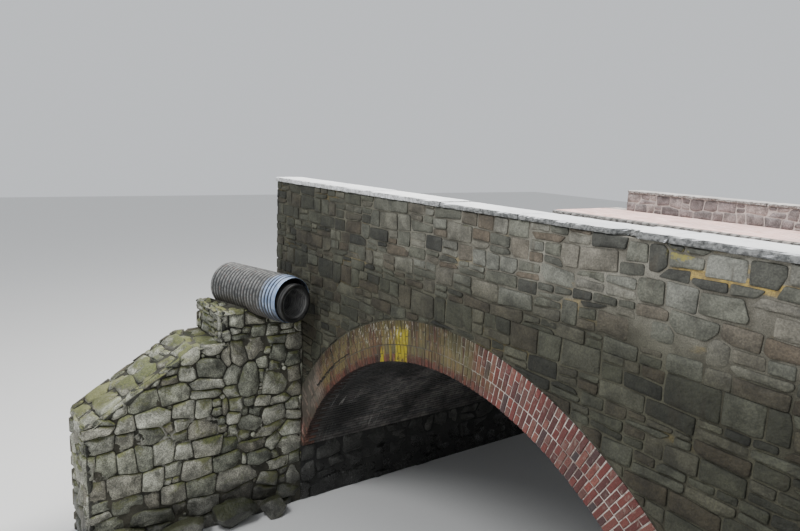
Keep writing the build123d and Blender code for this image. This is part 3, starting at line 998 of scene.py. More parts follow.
def flatMaterial(name, s):
    # slabs, kerbs and paving: a colour for each unit, patches, speckle, a darker broken edge whose dark is partly
    # painted shade; for the road, the level where its stone bed begins
    material, add = newMaterial(name)
    mottle, colour = mottledTone(add, s, 0.32)
    up = partsOf(add("ShaderNodeNewGeometry").outputs["True Normal"])["Z"]
    ragged = plus(up, centred(mottle["Height"], 0.8))
    side = ramp(ragged, 0.5, 0.75, 1.0, 0.0)
    where = objectPlace(add)
    parts = partsOf(where)
    # the sides: rough broken stone, and painted shade
    marks = ramp(noiseOf(where, s["sideScale"], 5, 0.7), 0.38, 0.62)
    shadedBrokenEdge = mixColour(marks, s["sideDark"], s["sideLight"])
    if s["paleLitSide"]:
        # painted light: the sides are paler towards the left
        wander = centred(mottle["Patch"], 2.5)
        litLeftSide = ramp(plus(parts["X"], wander), -1.6, 0.6, 0.85, 0.0)
        shadedBrokenEdge = mixColour(litLeftSide, shadedBrokenEdge, mixColour(marks, s["paleLitSide"], s["tones"][1]))
    colour = mixColour(times(side, s["sideStrength"]), colour, shadedBrokenEdge)
    if s["cracked"]:
        # smoother wheel tracks, and cracks across the road
        track = calc("ABSOLUTE", calc("SINE", times(plus(parts["Y"], 0.95), 2.1)))
        worn = times(ramp(track, 0.2, 0.9, 0.35, 0.0), ramp(side, 0.0, 0.5, 1.0, 0.0),
                     ramp(mottle["Patch"], 0.3, 0.6, 0.4, 1.0))
        colour = mixColour(worn, colour, (0.43, 0.43, 0.42))
        stones = add("ShaderNodeTexVoronoi", {"Vector": where, "Scale": 17.0}).outputs
        stone = mixColour(ramp(stones["Distance"], 0.3, 0.55),
                          mixColour(stones["Color"], (0.13, 0.12, 0.105), (0.3, 0.285, 0.26)), (0.03, 0.028, 0.024))
        low = plus(parts["Z"], times(mottle["Height"], 0.03))
        low = times(ramp(low, s["cracked"], s["cracked"] + 0.015, 1.0, 0.0), side)
        colour = mixColour(low, colour, stone)
        bent = add("ShaderNodeTexNoise", {"Vector": where, "Scale": 2.2, "Detail": 5.0}).outputs[1]
        bent = vector("MULTIPLY_ADD", bent, (0.5, 0.5, 0), where)
        cells = add("ShaderNodeTexVoronoi", {"Vector": bent, "Scale": 0.55}, feature="DISTANCE_TO_EDGE").outputs[0]
        crack = times(ramp(cells, 0.0, 0.012, 1.0, 0.0), ramp(noiseOf(where, 0.5, 2, 0.5), 0.45, 0.6))
        colour = mixColour(times(crack, 0.75), colour, (0.05, 0.05, 0.048))
    streaks = useGroup(add, "streaks", widthScale=6.0, amount=s["streaks"])["Mask"]
    colour = mixColour(times(streaks, 0.5), colour, s["streakColour"])
    roughness = ramp(mottle["Height"], 0.3, 0.7, s["roughness"] - 0.1, s["roughness"] + 0.08)
    height = times(mottle["Height"], plus(1.0, times(side, 2.0)))
    return finishMaterial(material, colour, roughness, height, 0.6, s["bumpDepth"])


slabFinish = {
    "patchScale": 2.2, "speckleScale": 80, "patchDark": (0.85, 0.86, 0.87), "patchLight": (1.06, 1.06, 1.05),
    "grainDark": (0.9, 0.9, 0.9), "grainLight": (1.05, 1.05, 1.05),
    "tones": [(0.72, 0.73, 0.75), (0.8, 0.81, 0.82), (0.66, 0.675, 0.695), (0.84, 0.845, 0.85)],
    "sideStrength": 0.95, "sideDark": (0.06, 0.062, 0.06), "sideLight": (0.26, 0.262, 0.255), "sideScale": 26,
    "paleLitSide": None, "cracked": None, "streaks": 0.3, "streakColour": (0.4, 0.4, 0.38), "roughness": 0.8,
    "bumpDepth": 0.012,
}
materials["archBrick"] = archBrickMaterial()
materials["vaultBrick"] = vaultBrickMaterial()
materials["nearFlag"] = flatMaterial("copingFlag", {**slabFinish, "paleLitSide": (0.42, 0.42, 0.41)})
materials["farFlag"] = flatMaterial("farCopingFlag", {
    **slabFinish, "tones": [(0.42, 0.4, 0.39), (0.5, 0.48, 0.465), (0.38, 0.365, 0.36), (0.46, 0.445, 0.435)],
    "patchDark": (0.7, 0.7, 0.7), "sideDark": (0.06, 0.056, 0.052), "sideLight": (0.26, 0.245, 0.235),
})
materials["kerb"] = flatMaterial("kerbStone", {
    **slabFinish, "patchScale": 5,
    "tones": [(0.2, 0.19, 0.185), (0.29, 0.28, 0.27), (0.15, 0.145, 0.14), (0.25, 0.22, 0.2)],
    "sideStrength": 0.7, "sideDark": (0.04, 0.038, 0.036), "sideLight": (0.2, 0.19, 0.185), "bumpDepth": 0.02,
})
materials["paving"] = flatMaterial("pavingBrick", {
    **slabFinish, "patchScale": 1.3,
    "tones": [(0.54, 0.35, 0.31), (0.65, 0.45, 0.415), (0.59, 0.415, 0.385), (0.71, 0.53, 0.49)],
    "sideStrength": 0.5, "sideDark": (0.25, 0.13, 0.1), "sideLight": (0.4, 0.25, 0.2), "streaks": 0.0,
    "streakColour": (0.3, 0.25, 0.2), "bumpDepth": 0.004,
})
materials["asphalt"] = flatMaterial("wornAsphalt", {
    **slabFinish, "patchScale": 0.9, "speckleScale": 160,
    "tones": [(0.3, 0.3, 0.3), (0.33, 0.33, 0.325)], "patchDark": (0.8, 0.8, 0.8), "patchLight": (1.15, 1.15, 1.14),
    "grainDark": (0.62, 0.62, 0.62), "grainLight": (1.35, 1.35, 1.33),
    "sideDark": (0.05, 0.05, 0.05), "sideLight": (0.12, 0.115, 0.11), "streaks": 0.0, "bumpDepth": 0.006,
    "cracked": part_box("road_slab")[1].z - 0.09,
})


def steelMaterial(mouthX):
    # blue-grey zinc near the mouth, dust and rust further back, dirt and painted shade in the grooves
    material, add = newMaterial("dirtySteel")
    where = objectPlace(add)
    mottle = useGroup(add, "mottle", patchScale=5.0, speckleScale=90.0)
    colour = mixColour(ramp(mottle["Patch"], 0.3, 0.7), (0.19, 0.28, 0.46), (0.46, 0.56, 0.75))
    dirt = ramp(plus(partsOf(where)["X"], centred(noiseOf(where, 6.0, 4, 0.7), 0.3)), mouthX - 0.1, mouthX - 0.3)
    dust = mixColour(ramp(noiseOf(where, 22.0, 4, 0.7), 0.35, 0.62), (0.055, 0.054, 0.048), (0.185, 0.18, 0.165))
    colour = mixColour(times(dirt, 0.96), colour, dust)
    rust = ramp(noiseOf(where, 13.0, 3, 0.6), 0.6, 0.68)
    colour = mixColour(times(rust, dirt, 0.6), colour, (0.15, 0.065, 0.045))
    grooveShade = ramp(attribute(add, "rib"), -0.6, 0.75, 0.92, 0.0)
    colour = mixColour(grooveShade, colour, (0.012, 0.012, 0.012))
    # darker and browner on its underside
    up = partsOf(add("ShaderNodeNewGeometry").outputs["Normal"])["Z"]
    darkUnderside = plus(up, centred(mottle["Patch"], 1.2))
    colour = mixColour(ramp(darkUnderside, 0.1, -0.7, 0.0, 0.8), colour, (0.06, 0.052, 0.042))
    roughness = ramp(mottle["Height"], 0.3, 0.7, 0.42, 0.62)
    return finishMaterial(material, colour, roughness, mottle["Height"], 0.35, 0.003, ramp(dirt, 0, 1, 0.45, 0.0))


def plasticMaterial(axis, bore):
    # matt black with painted highlights on its ridges; grey with silt inside
    material, add = newMaterial("blackPlastic")
    mottle = useGroup(add, "mottle", patchScale=6.0, speckleScale=100.0)
    colour = mixColour(ramp(mottle["Patch"], 0.42, 0.7), (0.01, 0.01, 0.0105), (0.03, 0.029, 0.027))
    ridgeHighlight = ramp(attribute(add, "rib"), 0.2, 0.9, 0.0, 0.3)
    colour = mixColour(ridgeHighlight, colour, (0.09, 0.088, 0.083))
    across = vector("CROSS_PRODUCT", vector("SUBTRACT", objectPlace(add), axis), heading)
    away = vector("LENGTH", across, output=1)
    silt = mixColour(ramp(mottle["Patch"], 0.35, 0.65), (0.05, 0.05, 0.049), (0.14, 0.138, 0.132))
    colour = mixColour(ramp(away, bore + 0.003, bore + 0.012, 1.0, 0.0), colour, silt)
    roughness = ramp(mottle["Speckle"], 0.3, 0.7, 0.4, 0.6)
    return finishMaterial(material, colour, roughness, mottle["Speckle"], 0.25, 0.002)


print("materials made")


# rubble walls of the bridge itself

facePlanes = {end: Plane((away * bridgeEnd, faceY, 0), (-away, 0, 0)) for end, faceY, away in ends}
bridgeWidth = farFace - nearFace
archMiddle = (bridgeEnd, archZ)  # in a face plane's own u and v


def behindWing(u, v):
    return v < wingTop - 0.12 and (u < bridgeEnd - halfSpan - 0.1 or u > bridgeEnd + halfSpan + 0.1)


def shifted(plane, u, v):
    return Plane(plane.at(u, v, 0), plane.u, plane.v)


def layEnd(heap, sign, low, high, y0, y1, seed, circle=None):
    # the cut end of a piece, between two heights and two distances through the bridge
    plane = Plane((sign * bridgeEnd, y0 if sign > 0 else y1, low), (0, sign, 0))
    layFace(heap, plane, y1 - y0, high - low, backingRubble, seed, circle=circle, kind=2)


def setBackEnd(reach, by):
    # both ends of a piece that reaches as far to the left as to the right
    return [setBack(0, reach, -by), setBack(0, -reach, by)]


for end, faceY, away in ends:
    heap = Heap()
    node = f"{end}_spandrel_wall"
    low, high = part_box(node)
    coreOf(heap, node, [setBack(1, faceY, -away * mortarBehind["squared"]),
                        *setBackEnd(bridgeEnd, mortarBehind["backing"])])
    layFace(heap, shifted(facePlanes[end], 0, skewTop), 2 * bridgeEnd, bedLevel - skewTop, squaredRubble, 11,
            circle=((bridgeEnd, archZ - skewTop), outerRadius + 0.02),
            skip=lambda u, v: behindWing(u, v + skewTop)
            or math.dist((u, v + skewTop), archMiddle) < outerRadius + 0.03)
    for side, sign in sides:
        layEnd(heap, sign, skewTop, bedLevel, low.y, high.y, 21)
    heap.makePiece(f"{end}SpandrelStones", ["paleMortar", "squared", "backing"], node)

# stones that can be read under the right end of the near coping, by x, z, width, height and tone
readStones = [
    (3.01, 4.98, 0.32, 0.16, 0.5), (2.71, 4.985, 0.30, 0.11, 0.36), (2.47, 4.96, 0.17, 0.18, 0.02),
    (2.60, 5.068, 0.16, 0.05, 0.0), (2.79, 5.072, 0.20, 0.04, 0.1), (2.62, 4.86, 0.26, 0.09, 0.02),
    (2.90, 4.84, 0.28, 0.08, 0.0), (3.17, 4.85, 0.22, 0.09, 0.08), (3.30, 4.98, 0.24, 0.17, 0.05),
    (2.27, 4.96, 0.22, 0.15, 0.3), (2.21, 4.83, 0.24, 0.10, 0.1), (2.57, 4.385, 0.17, 0.13, 0.4),
    (2.80, 4.17, 0.28, 0.13, 0.5), (3.02, 4.71, 0.34, 0.16, 0.3), (2.70, 4.70, 0.26, 0.18, 0.45),
    (2.42, 4.69, 0.26, 0.16, 0.2),
]
heap = Heap()
coreOf(heap, "near_parapet", [setBack(1, nearFace, mortarBehind["squared"]),
                              setBack(1, parapetHigh.y, -mortarBehind["squared"]),
                              *setBackEnd(bridgeEnd, mortarBehind["squared"])])
parapetHeight = nearCopingFoot - bedLevel
layFace(heap, shifted(facePlanes["near"], 0, bedLevel), 2 * bridgeEnd, parapetHeight, squaredRubble, 31,
        seeds=[(x + bridgeEnd, z - bedLevel, w, h, 0, tone) for x, z, w, h, tone in readStones])
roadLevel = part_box("road_slab")[1].z
layFace(heap, Plane((bridgeEnd, parapetHigh.y, roadLevel), (-1, 0, 0)), 2 * bridgeEnd,
        nearCopingFoot - roadLevel, squaredRubble, 32)
for side, sign in sides:
    plane = Plane((sign * bridgeEnd, nearFace if sign > 0 else parapetHigh.y, bedLevel), (0, sign, 0))
    layFace(heap, plane, parapetHigh.y - nearFace, parapetHeight,
            {**squaredRubble, "lift": -0.008, "limit": -0.001}, 33)
heap.makePiece("nearParapetStones", ["paleMortar", "squared"], "near_parapet")

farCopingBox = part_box("far_coping_flag_1")
farHalf = -farCopingBox[0].x
footwayLevel = kerbHigh.z
heap = Heap()
coreOf(heap, "far_parapet", [setBack(1, farFace, -mortarBehind["purple"]),
                             setBack(1, farParapetLow.y, mortarBehind["purple"]),
                             *setBackEnd(farHalf, mortarBehind["purple"])])
layFace(heap, Plane((farHalf, farFace, footwayLevel), (-1, 0, 0)), 2 * farHalf,
        farCopingFoot - footwayLevel, purpleRubble, 41)
layFace(heap, Plane((-farHalf, farParapetLow.y, footwayLevel), (1, 0, 0)), 2 * farHalf,
        farCopingFoot - footwayLevel, purpleRubble, 47)
layFace(heap, Plane((bridgeEnd, farFace, bedLevel), (-1, 0, 0)), 2 * bridgeEnd, footwayLevel - bedLevel,
        purpleRubble, 43)
for x, along in ((-farHalf, -1), (farHalf, 1)):
    y = farFace if along < 0 else farParapetLow.y
    layFace(heap, Plane((x, y, footwayLevel), (0, along, 0)), farFace - farParapetLow.y,
            farCopingFoot - footwayLevel, purpleRubble, 44)
heap.makePiece("farParapetStones", ["farMortar", "purple"], "far_parapet")

for side, sign in sides:
    heap = Heap()
    node = f"{side}_haunch_backing"
    low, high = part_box(node)
    endBack = setBack(0, sign * bridgeEnd, -sign * mortarBehind["backing"])
    coreOf(heap, node, [endBack])
    layEnd(heap, sign, skewTop, bedLevel, low.y, high.y, 51)
    heap.makePiece(f"{side}BackingStones", ["backingMortar", "boulder", "backing"], node)

    heap = Heap()
    node = f"{side}_abutment"
    coreOf(heap, node, [endBack, setBack(0, sign * halfSpan, sign * mortarBehind["boulders"])], 3)
    layEnd(heap, sign, 0, skewTop, nearFace, farFace, 52)
    plane = Plane((sign * halfSpan, nearFace if sign < 0 else farFace, 0), (0, -sign, 0))
    layFace(heap, plane, bridgeWidth, springing, {**boulders, "lift": -0.02}, 53)
    heap.makePiece(f"{side}AbutmentStones", ["wetJoint", "wetShadedStone", "backing", "backingMortar"],
                   node)
print("bridge walls laid")


# wing walls, with the stones that can be read by the bridge's left end as (distance from the bridge, level, width,
# height, turn in degrees)

wingStones = [
    (0.77, 2.69, 0.27, 0.31, -15), (1.05, 2.65, 0.21, 0.39, -18), (0.40, 2.54, 0.24, 0.30, -36),
    (0.46, 2.36, 0.15, 0.17, 0), (0.67, 2.43, 0.15, 0.18, -3), (0.89, 2.19, 0.32, 0.47, 12),
    (0.46, 2.10, 0.43, 0.42, 6), (0.69, 2.27, 0.08, 0.19, -3), (1.15, 2.07, 0.21, 0.20, 3),
    (1.13, 2.32, 0.23, 0.28, 0), (1.22, 2.62, 0.12, 0.33, -3), (1.08, 1.88, 0.22, 0.22, -9),
    (0.88, 1.88, 0.17, 0.14, -3), (0.66, 1.85, 0.25, 0.16, -9), (0.37, 1.82, 0.30, 0.14, -6),
    (0.16, 1.70, 0.26, 0.17, -9), (0.94, 1.73, 0.11, 0.15, -6), (0.76, 1.71, 0.22, 0.16, 18),
    (0.47, 1.60, 0.38, 0.27, 0), (0.15, 1.53, 0.27, 0.14, 12), (1.12, 1.67, 0.22, 0.19, 21),
    (1.24, 1.88, 0.09, 0.25, 0), (0.85, 1.53, 0.38, 0.24, 24), (0.56, 1.35, 0.58, 0.16, -14),
    (0.18, 1.30, 0.34, 0.24, 0), (0.96, 1.36, 0.18, 0.14, 3), (1.12, 1.47, 0.13, 0.18, -3),
    (0.82, 1.18, 0.43, 0.22, -3), (0.49, 1.15, 0.26, 0.19, -33), (0.22, 1.02, 0.45, 0.30, -12),
    (0.71, 0.93, 0.40, 0.24, 0), (0.45, 0.91, 0.13, 0.13, -6), (0.44, 0.76, 0.44, 0.21, 0),
    (0.11, 0.79, 0.21, 0.20, 3), (1.22, 1.02, 0.44, 0.26, -6), (1.68, 1.00, 0.44, 0.29, 3),
    (0.96, 0.98, 0.08, 0.16, -6), (1.02, 0.70, 0.70, 0.33, 0), (1.64, 0.71, 0.44, 0.30, -12),
    (0.57, 0.54, 0.38, 0.21, 21), (0.31, 0.59, 0.17, 0.15, -12), (0.13, 0.47, 0.25, 0.32, 0),
    (0.34, 0.45, 0.13, 0.14, -9), (1.09, 0.38, 0.50, 0.30, -14), (0.60, 0.30, 0.42, 0.21, 6),
    (0.25, 0.21, 0.42, 0.24, 6), (0.74, 0.09, 0.46, 0.20, 10), (1.57, 0.42, 0.48, 0.26, 3),
    (1.33, 0.12, 0.60, 0.24, 10), (0.28, 0.02, 0.42, 0.16, 0), (1.58, 1.58, 0.43, 0.26, 3),
    (1.52, 1.30, 0.43, 0.28, -3), (1.18, 1.26, 0.25, 0.24, 0), (0.16, 2.42, 0.24, 0.22, 8),
    (0.14, 2.18, 0.22, 0.24, -6), (0.14, 1.94, 0.24, 0.22, 4), (0.14, 2.68, 0.26, 0.26, 0),
]
rakeFall = (wingTop - wingEndHeight) / (wingLength - wingLevelRun)


def wingFace(heap, faceY, away, sign, underArch, seed):
    # one long face of a wing wall, in line with the abutment's face under the arch or with the bridge's end; u
    # starts at the left as seen square on
    way = -sign if underArch else sign
    fromBridge = way * away > 0
    originY = faceY if fromBridge else faceY + away * wingLength
    plane = Plane((sign * (halfSpan if underArch else bridgeEnd), originY, 0), (0, way, 0))
    slope = Vector((rakeFall, 1)).normalized()
    if fromBridge:
        rake = ((wingLevelRun, wingTop), (slope.x, slope.y))
    else:
        rake = ((wingLength - wingLevelRun, wingTop), (-slope.x, slope.y))
    stones = []
    if underArch:
        rng = random.Random(seed + 900)
        mirror = 1 if fromBridge else -1
        stones = [(d if fromBridge else wingLength - d, z, w, h, mirror * math.radians(turn), rng.random())
                  for d, z, w, h, turn in wingStones]
    style = boulders if underArch else backingRubble
    layFace(heap, plane, wingLength, wingTop, style, seed, [rake], seeds=stones, kind=1 if underArch else 2)


def wingTopFaces(heap, faceY, away, sign, seed):
    # the level top, the raked top and the end of a wing wall
    x0, x1 = sorted((sign * halfSpan, sign * bridgeEnd), reverse=away < 0)
    thick = bridgeEnd - halfSpan
    style = {**boulders, "limit": 0.0, "lift": -0.018, "step": 0.014, "depth": 0.12}
    bed = nearFace - bedLow.y - 0.1 if away < 0 and sign < 0 else 0
    layFace(heap, Plane((x0, faceY, wingTop), (away, 0, 0), (0, away, 0)), thick, wingLevelRun, style, seed,
            skip=lambda u, v: v < bed)
    fall = Vector((0, away * (wingLength - wingLevelRun), wingEndHeight - wingTop))
    layFace(heap, Plane((x0, faceY + away * wingLevelRun, wingTop), (away, 0, 0), fall), thick, fall.length, style,
            seed + 1)
    layFace(heap, Plane((x1, faceY + away * wingLength, 0), (-away, 0, 0)), thick, wingEndHeight,
            {**style, "limit": -0.001}, seed + 2)


def setBackWing(faceY, away, sign):
    drop = mortarBehind["boulders"]

    def lower(p):
        if p.z > wingEndHeight - 0.01:
            p.z -= drop
        return p
    return [setBack(0, sign * halfSpan, sign * drop), setBack(0, sign * bridgeEnd, -sign * mortarBehind["backing"]),
            setBack(1, faceY + away * wingLength, -away * drop), lower]


for end, faceY, away in ends:
    for side, sign in sides:
        heap = Heap()
        node = f"{end}_{side}_wing_wall"
        coreOf(heap, node, setBackWing(faceY, away, sign), 3)
        wingFace(heap, faceY, away, sign, True, 61)
        wingFace(heap, faceY, away, sign, False, 62)
        wingTopFaces(heap, faceY, away, sign, 63)
        heap.makePiece(f"{end}{side.title()}WingStones", ["deepJoint", "boulder", "backing", "backingMortar"],
                       node)
print("wing walls laid")


def boulder(heap, low, high, seed, s):
    # a worn block with a few flat faces, that fills the box between two corners
    rng = random.Random(seed)
    shape = bmesh.new()
    bmesh.ops.create_cube(shape, size=2)
    bmesh.ops.subdivide_edges(shape, edges=shape.edges, cuts=s["cells"] - 1, use_grid_fill=True)
    middle = (Vector(low) + Vector(high)) / 2
    half = (Vector(high) - Vector(low)) / 2
    shift = Vector((rng.uniform(0, 30), rng.uniform(0, 30), rng.uniform(0, 30)))
    planes = []
    for _ in range(s["facets"]):
        normal = Vector((rng.gauss(0, 1), rng.gauss(0, 1), rng.gauss(0, 1))).normalized()
        planes.append((normal, rng.uniform(*s["facetDepth"])))
    points = []
    for vertex in shape.verts:
        d = vertex.co.normalized()
        d *= sum(abs(c) ** s["square"] for c in d) ** (-1 / s["square"])
        for normal, depth in planes:
            d -= normal * max(0.0, d.dot(normal) - depth)
        p = Vector(d[k] * half[k] for k in range(3))
        p *= 1 + s["rough"] * noise.fractal((p + shift) * s["roughScale"], 0.9, 2.1, 4)
        points.append(tuple(middle + Vector(min(half[k], max(-half[k], p[k])) for k in range(3))))
    shape.verts.index_update()
    heap.add(points, [[v.index for v in face.verts] for face in shape.faces], 0, True, rng.random(), rng.random())
    shape.free()


toeBlock = {"cells": 13, "facets": 16, "facetDepth": (0.66, 0.98), "square": 6.0, "rough": 0.11, "roughScale": 4.2}
toeRests = {"lengths": (0.46, 0.64, 0.82, 0.70), "heights": (0.30, 0.40, 0.34, 0.42), "gap": 0.06, "fromFace": 0.30,
            "reach": 0.30}
for end, faceY, away in ends:
    for side, sign in sides:
        heap = Heap()
        d = toeRests["fromFace"]
        for number, (length, height) in enumerate(zip(toeRests["lengths"], toeRests["heights"])):
            y0, y1 = sorted((faceY + away * d, faceY + away * (d + length)))
            x0, x1 = sorted((sign * (halfSpan + 0.05), sign * (halfSpan - toeRests["reach"])))
            boulder(heap, (x0, y0 - 0.02, 0), (x1, y1 + 0.02, height), 71 + number, toeBlock)
            d += length + toeRests["gap"]
        heap.makePiece(f"{end}{side.title()}ToeBoulders", ["boulder"], f"{end}_{side}_toe_stones")
print("toe stones placed")


# bricks, laid by geometry nodes


def runTree(tree, name, values):
    # the modifier's result as a plain mesh; the host and its modifier go
    host = placeObject(name, bpy.data.meshes.new(name))
    modifier = host.modifiers.new("nodes", "NODES")
    modifier.node_group = tree
    for item in tree.interface.items_tree:
        if item.item_type == "SOCKET" and item.in_out == "INPUT" and item.name in values:
            modifier[item.identifier] = values[item.name]
    graph = bpy.context.evaluated_depsgraph_get()
    mesh = bpy.data.meshes.new_from_object(host.evaluated_get(graph), preserve_all_data_layers=True, depsgraph=graph)
    host.modifiers.remove(modifier)
    bpy.data.objects.remove(host)
    return mesh


def randomFloat(low, high, index, seed):
    return onTree(index)("FunctionNodeRandomValue", {2: low, 3: high, 7: index, 8: seed},
                         data_type="FLOAT").outputs[1]


def combined(x, y, z):
    return onTree(x, y, z)("ShaderNodeCombineXYZ", {0: x, 1: y, 2: z}).outputs[0]


def stored(geometry, label, value, kind="FLOAT", domain="POINT"):
    return onTree(geometry)("GeometryNodeStoreNamedAttribute", {"Geometry": geometry, "Name": label, "Value": value},
                            data_type=kind, domain=domain).outputs[0]


def brickTree(name, sockets):
    return newTree(name, "Geometry", [
        ("Geometry", "Geometry"), ("Brick Shape", "Object"), ("Brick Length", "Float", 0.203),
        ("Joint", "Float", 0.01), ("Step", "Float", 0.004), ("Wobble", "Float", 0.01), ("Wear", "Float", 0.004),
        ("Seed", "Int", 1), ("Material", "Material"), *sockets,
    ], [("Geometry", "Geometry")])


def pointForEach(add, courses, inCourse):
    # a point for each brick, with its own number, its course's number and its place in the course
    points = add("GeometryNodePoints", {"Count": times(courses, inCourse)}).outputs[0]
    index = add("GeometryNodeInputIndex").outputs[0]
    course = calc("FLOOR", calc("DIVIDE", plus(index, 0.5), inCourse))
    return points, index, course, minus(index, times(course, inCourse))


def cutToRow(i, start, rowStart, rowEnd):
    # the middle and length of a brick that stays within its row
    low = calc("MAXIMUM", start, rowStart)
    high = calc("MINIMUM", plus(start, i["Brick Length"]), rowEnd)
    return times(plus(low, high), 0.5), minus(high, low)


def wobbleOf(i, index, axis):
    return times(i["Wobble"], randomFloat(-1.0, 1.0, index, plus(i["Seed"], 30 + axis)))


def layBricks(add, i, points, index, place, turn, scale, length):
    # what each point needs is stored before the shortest go, so that the numbers stay with them
    points = add("GeometryNodeSetPosition", {"Geometry": points, "Position": place}).outputs[0]
    needs = (("turn", turn, "FLOAT_VECTOR"), ("scale", scale, "FLOAT_VECTOR"), ("number", index, "INT"))
    for label, value, kind in needs:
        points = stored(points, label, value, kind)
    points = add("GeometryNodeDeleteGeometry", {"Geometry": points, "Selection": calc("LESS_THAN", length, 0.03)},
                 domain="POINT").outputs[0]
    turn, scale, number = (add("GeometryNodeInputNamedAttribute", {"Name": label}, data_type=kind).outputs[0]
                           for label, _, kind in needs)
    bricks = add("GeometryNodeInstanceOnPoints", {
        "Points": points, "Rotation": turn, "Scale": scale,
        "Instance": add("GeometryNodeObjectInfo", {"Object": i["Brick Shape"]}).outputs["Geometry"],
    }).outputs[0]
    # a tone and a tint for each brick, then worn arrises, and the material
    for label, shift in (("tone", 101), ("tint", 202)):
        bricks = stored(bricks, label, randomFloat(0.0, 1.0, number, plus(i["Seed"], shift)), domain="INSTANCE")
    bricks = add("GeometryNodeRealizeInstances", {"Geometry": bricks}).outputs[0]
    worn = add("ShaderNodeTexNoise", {"Scale": 31.0, "Detail": 2.0}).outputs[1]
    offset = scaled(vector("SUBTRACT", worn, (0.5, 0.5, 0.5)), i["Wear"])
    bricks = add("GeometryNodeSetPosition", {"Geometry": bricks, "Offset": offset}).outputs[0]
    bricks = add("GeometryNodeSetMaterial", {"Geometry": bricks, "Material": i["Material"]}).outputs[0]
    add("NodeGroupOutput", {"Geometry": bricks})


def buildArchTree():
    # rows of bricks over a round arch: x and z round it, y along it
    tree, add, i = brickTree("archBricks", [
        ("Arch Height", "Float", 0.0), ("Radius", "Float", 4.0), ("Start Angle", "Float", 0.4),
        ("Course Angle", "Float", 0.02), ("Courses", "Int", 130), ("First Course", "Int", 0),
        ("Course Step", "Int", 1), ("Rows", "Int", 1), ("Row Start", "Float", 0.0), ("Row End", "Float", 1.0),
        ("Row Shift", "Float", 0.0), ("Worn Left", "Float", 0.0),
    ])
    points, index, course, row = pointForEach(add, i["Courses"], i["Rows"])
    number = plus(i["First Course"], times(course, i["Course Step"]))
    angle = plus(i["Start Angle"], times(plus(number, 0.5), i["Course Angle"]))
    shift = times(calc("MODULO", number, 2.0), i["Row Shift"])
    start = plus(i["Row Start"], minus(times(row, plus(i["Brick Length"], i["Joint"])), shift))
    y, length = cutToRow(i, start, i["Row Start"], i["Row End"])
    x = times(calc("COSINE", angle), i["Radius"])
    wornZone = add("ShaderNodeMapRange", {"Value": x, "From Min": -2.9, "From Max": -3.3}).outputs[0]
    spall = times(wornZone, i["Worn Left"], randomFloat(0.0, 1.0, index, plus(i["Seed"], 5)))
    y = plus(y, times(i["Step"], randomFloat(-1.0, 1.0, index, i["Seed"])), spall)
    z = plus(i["Arch Height"], times(calc("SINE", angle), i["Radius"]))
    turn = combined(wobbleOf(i, index, 0), minus(math.pi / 2, angle), wobbleOf(i, index, 1))
    scale = combined(1.0, calc("DIVIDE", length, i["Brick Length"]), 1.0)
    layBricks(add, i, points, index, combined(x, y, z), turn, scale, length)
    return tree


def buildPavingTree():
    # flat rows of bricks, each row shifted by half a brick
    tree, add, i = brickTree("pavingBricks", [
        ("Row Width", "Float", 0.1), ("Rows", "Int", 10), ("Along", "Int", 10), ("Corner", "Vector"),
        ("Right End", "Float", 1.0),
    ])
    points, index, row, column = pointForEach(add, i["Rows"], i["Along"])
    corner = partsOf(i["Corner"])
    pitch = plus(i["Brick Length"], i["Joint"])
    shift = times(calc("MODULO", row, 2.0), times(pitch, 0.5))
    start = plus(corner[0], minus(times(column, pitch), shift))
    x, length = cutToRow(i, start, corner[0], i["Right End"])
    y = plus(corner[1], times(plus(row, 0.5), i["Row Width"]))
    z = minus(corner[2], times(i["Step"], randomFloat(0.0, 1.0, index, i["Seed"])))
    turn = combined(*(wobbleOf(i, index, axis) for axis in range(3)))
    scale = combined(calc("DIVIDE", length, i["Brick Length"]), 1.0, 1.0)
    layBricks(add, i, points, index, combined(x, y, z), turn, scale, length)
    return tree


def brickShape(name, size, arris=0.003, cuts=0, frontOnly=False):
    # a worn brick round the origin, used only as the shape that a tree repeats; its front looks down
    shape = bmesh.new()
    bmesh.ops.create_cube(shape, size=1)
    bmesh.ops.scale(shape, vec=size, verts=shape.verts)
    worn = [e for e in shape.edges if not frontOnly or all(v.co.z < 0 for v in e.verts)]
    bmesh.ops.bevel(shape, geom=worn, offset=arris, segments=1, affect="EDGES")
    if cuts:
        longest = max(range(3), key=lambda k: size[k])
        edges = [e for e in shape.edges if abs(e.verts[0].co[longest] - e.verts[1].co[longest]) > size[longest] / 2]
        bmesh.ops.subdivide_edges(shape, edges=edges, cuts=cuts)
    mesh = bpy.data.meshes.new(name)
    shape.to_mesh(mesh)
    shape.free()
    return placeObject(name, mesh)


brick = {"thick": 0.057, "wide": 0.098, "long": 0.203, "joint": 0.010, "ringJoint": 0.012, "outerHeader": 0.096,
         "soffitBack": 0.009, "faceBack": 0.007, "soffitMiddle": 0.0165, "vaultMiddle": 0.0125, "vaultThick": 0.022}
archTree = buildArchTree()
pavingTree = buildPavingTree()
ringDepth = outerRadius - innerRadius
halfHeader = (brick["long"] - brick["joint"]) / 2
outerStart = brick["long"] + brick["ringJoint"]
outerHeader = brick["outerHeader"]
outerStretcher = ringDepth - outerStart - outerHeader - brick["joint"]
shapes = {}


def shapeFor(key, size, **how):
    if key not in shapes:
        shapes[key] = brickShape(key, size, **how)
    return shapes[key]


# first course, distance from the soffit, radial length, length through the wall, and which ring
ringLanes = [
    (0, 0.0, brick["long"], brick["wide"], "inner"),
    (1, 0.0, halfHeader, brick["long"], "inner"),
    (1, halfHeader + brick["joint"], halfHeader, brick["long"], "inner"),
    (0, outerStart, outerStretcher, brick["wide"], "outer"),
    (0, outerStart + outerStretcher + brick["joint"], outerHeader, brick["long"], "outer"),
    (1, outerStart, outerHeader, brick["long"], "outer"),
    (1, outerStart + outerHeader + brick["joint"], outerStretcher, brick["wide"], "outer"),
]


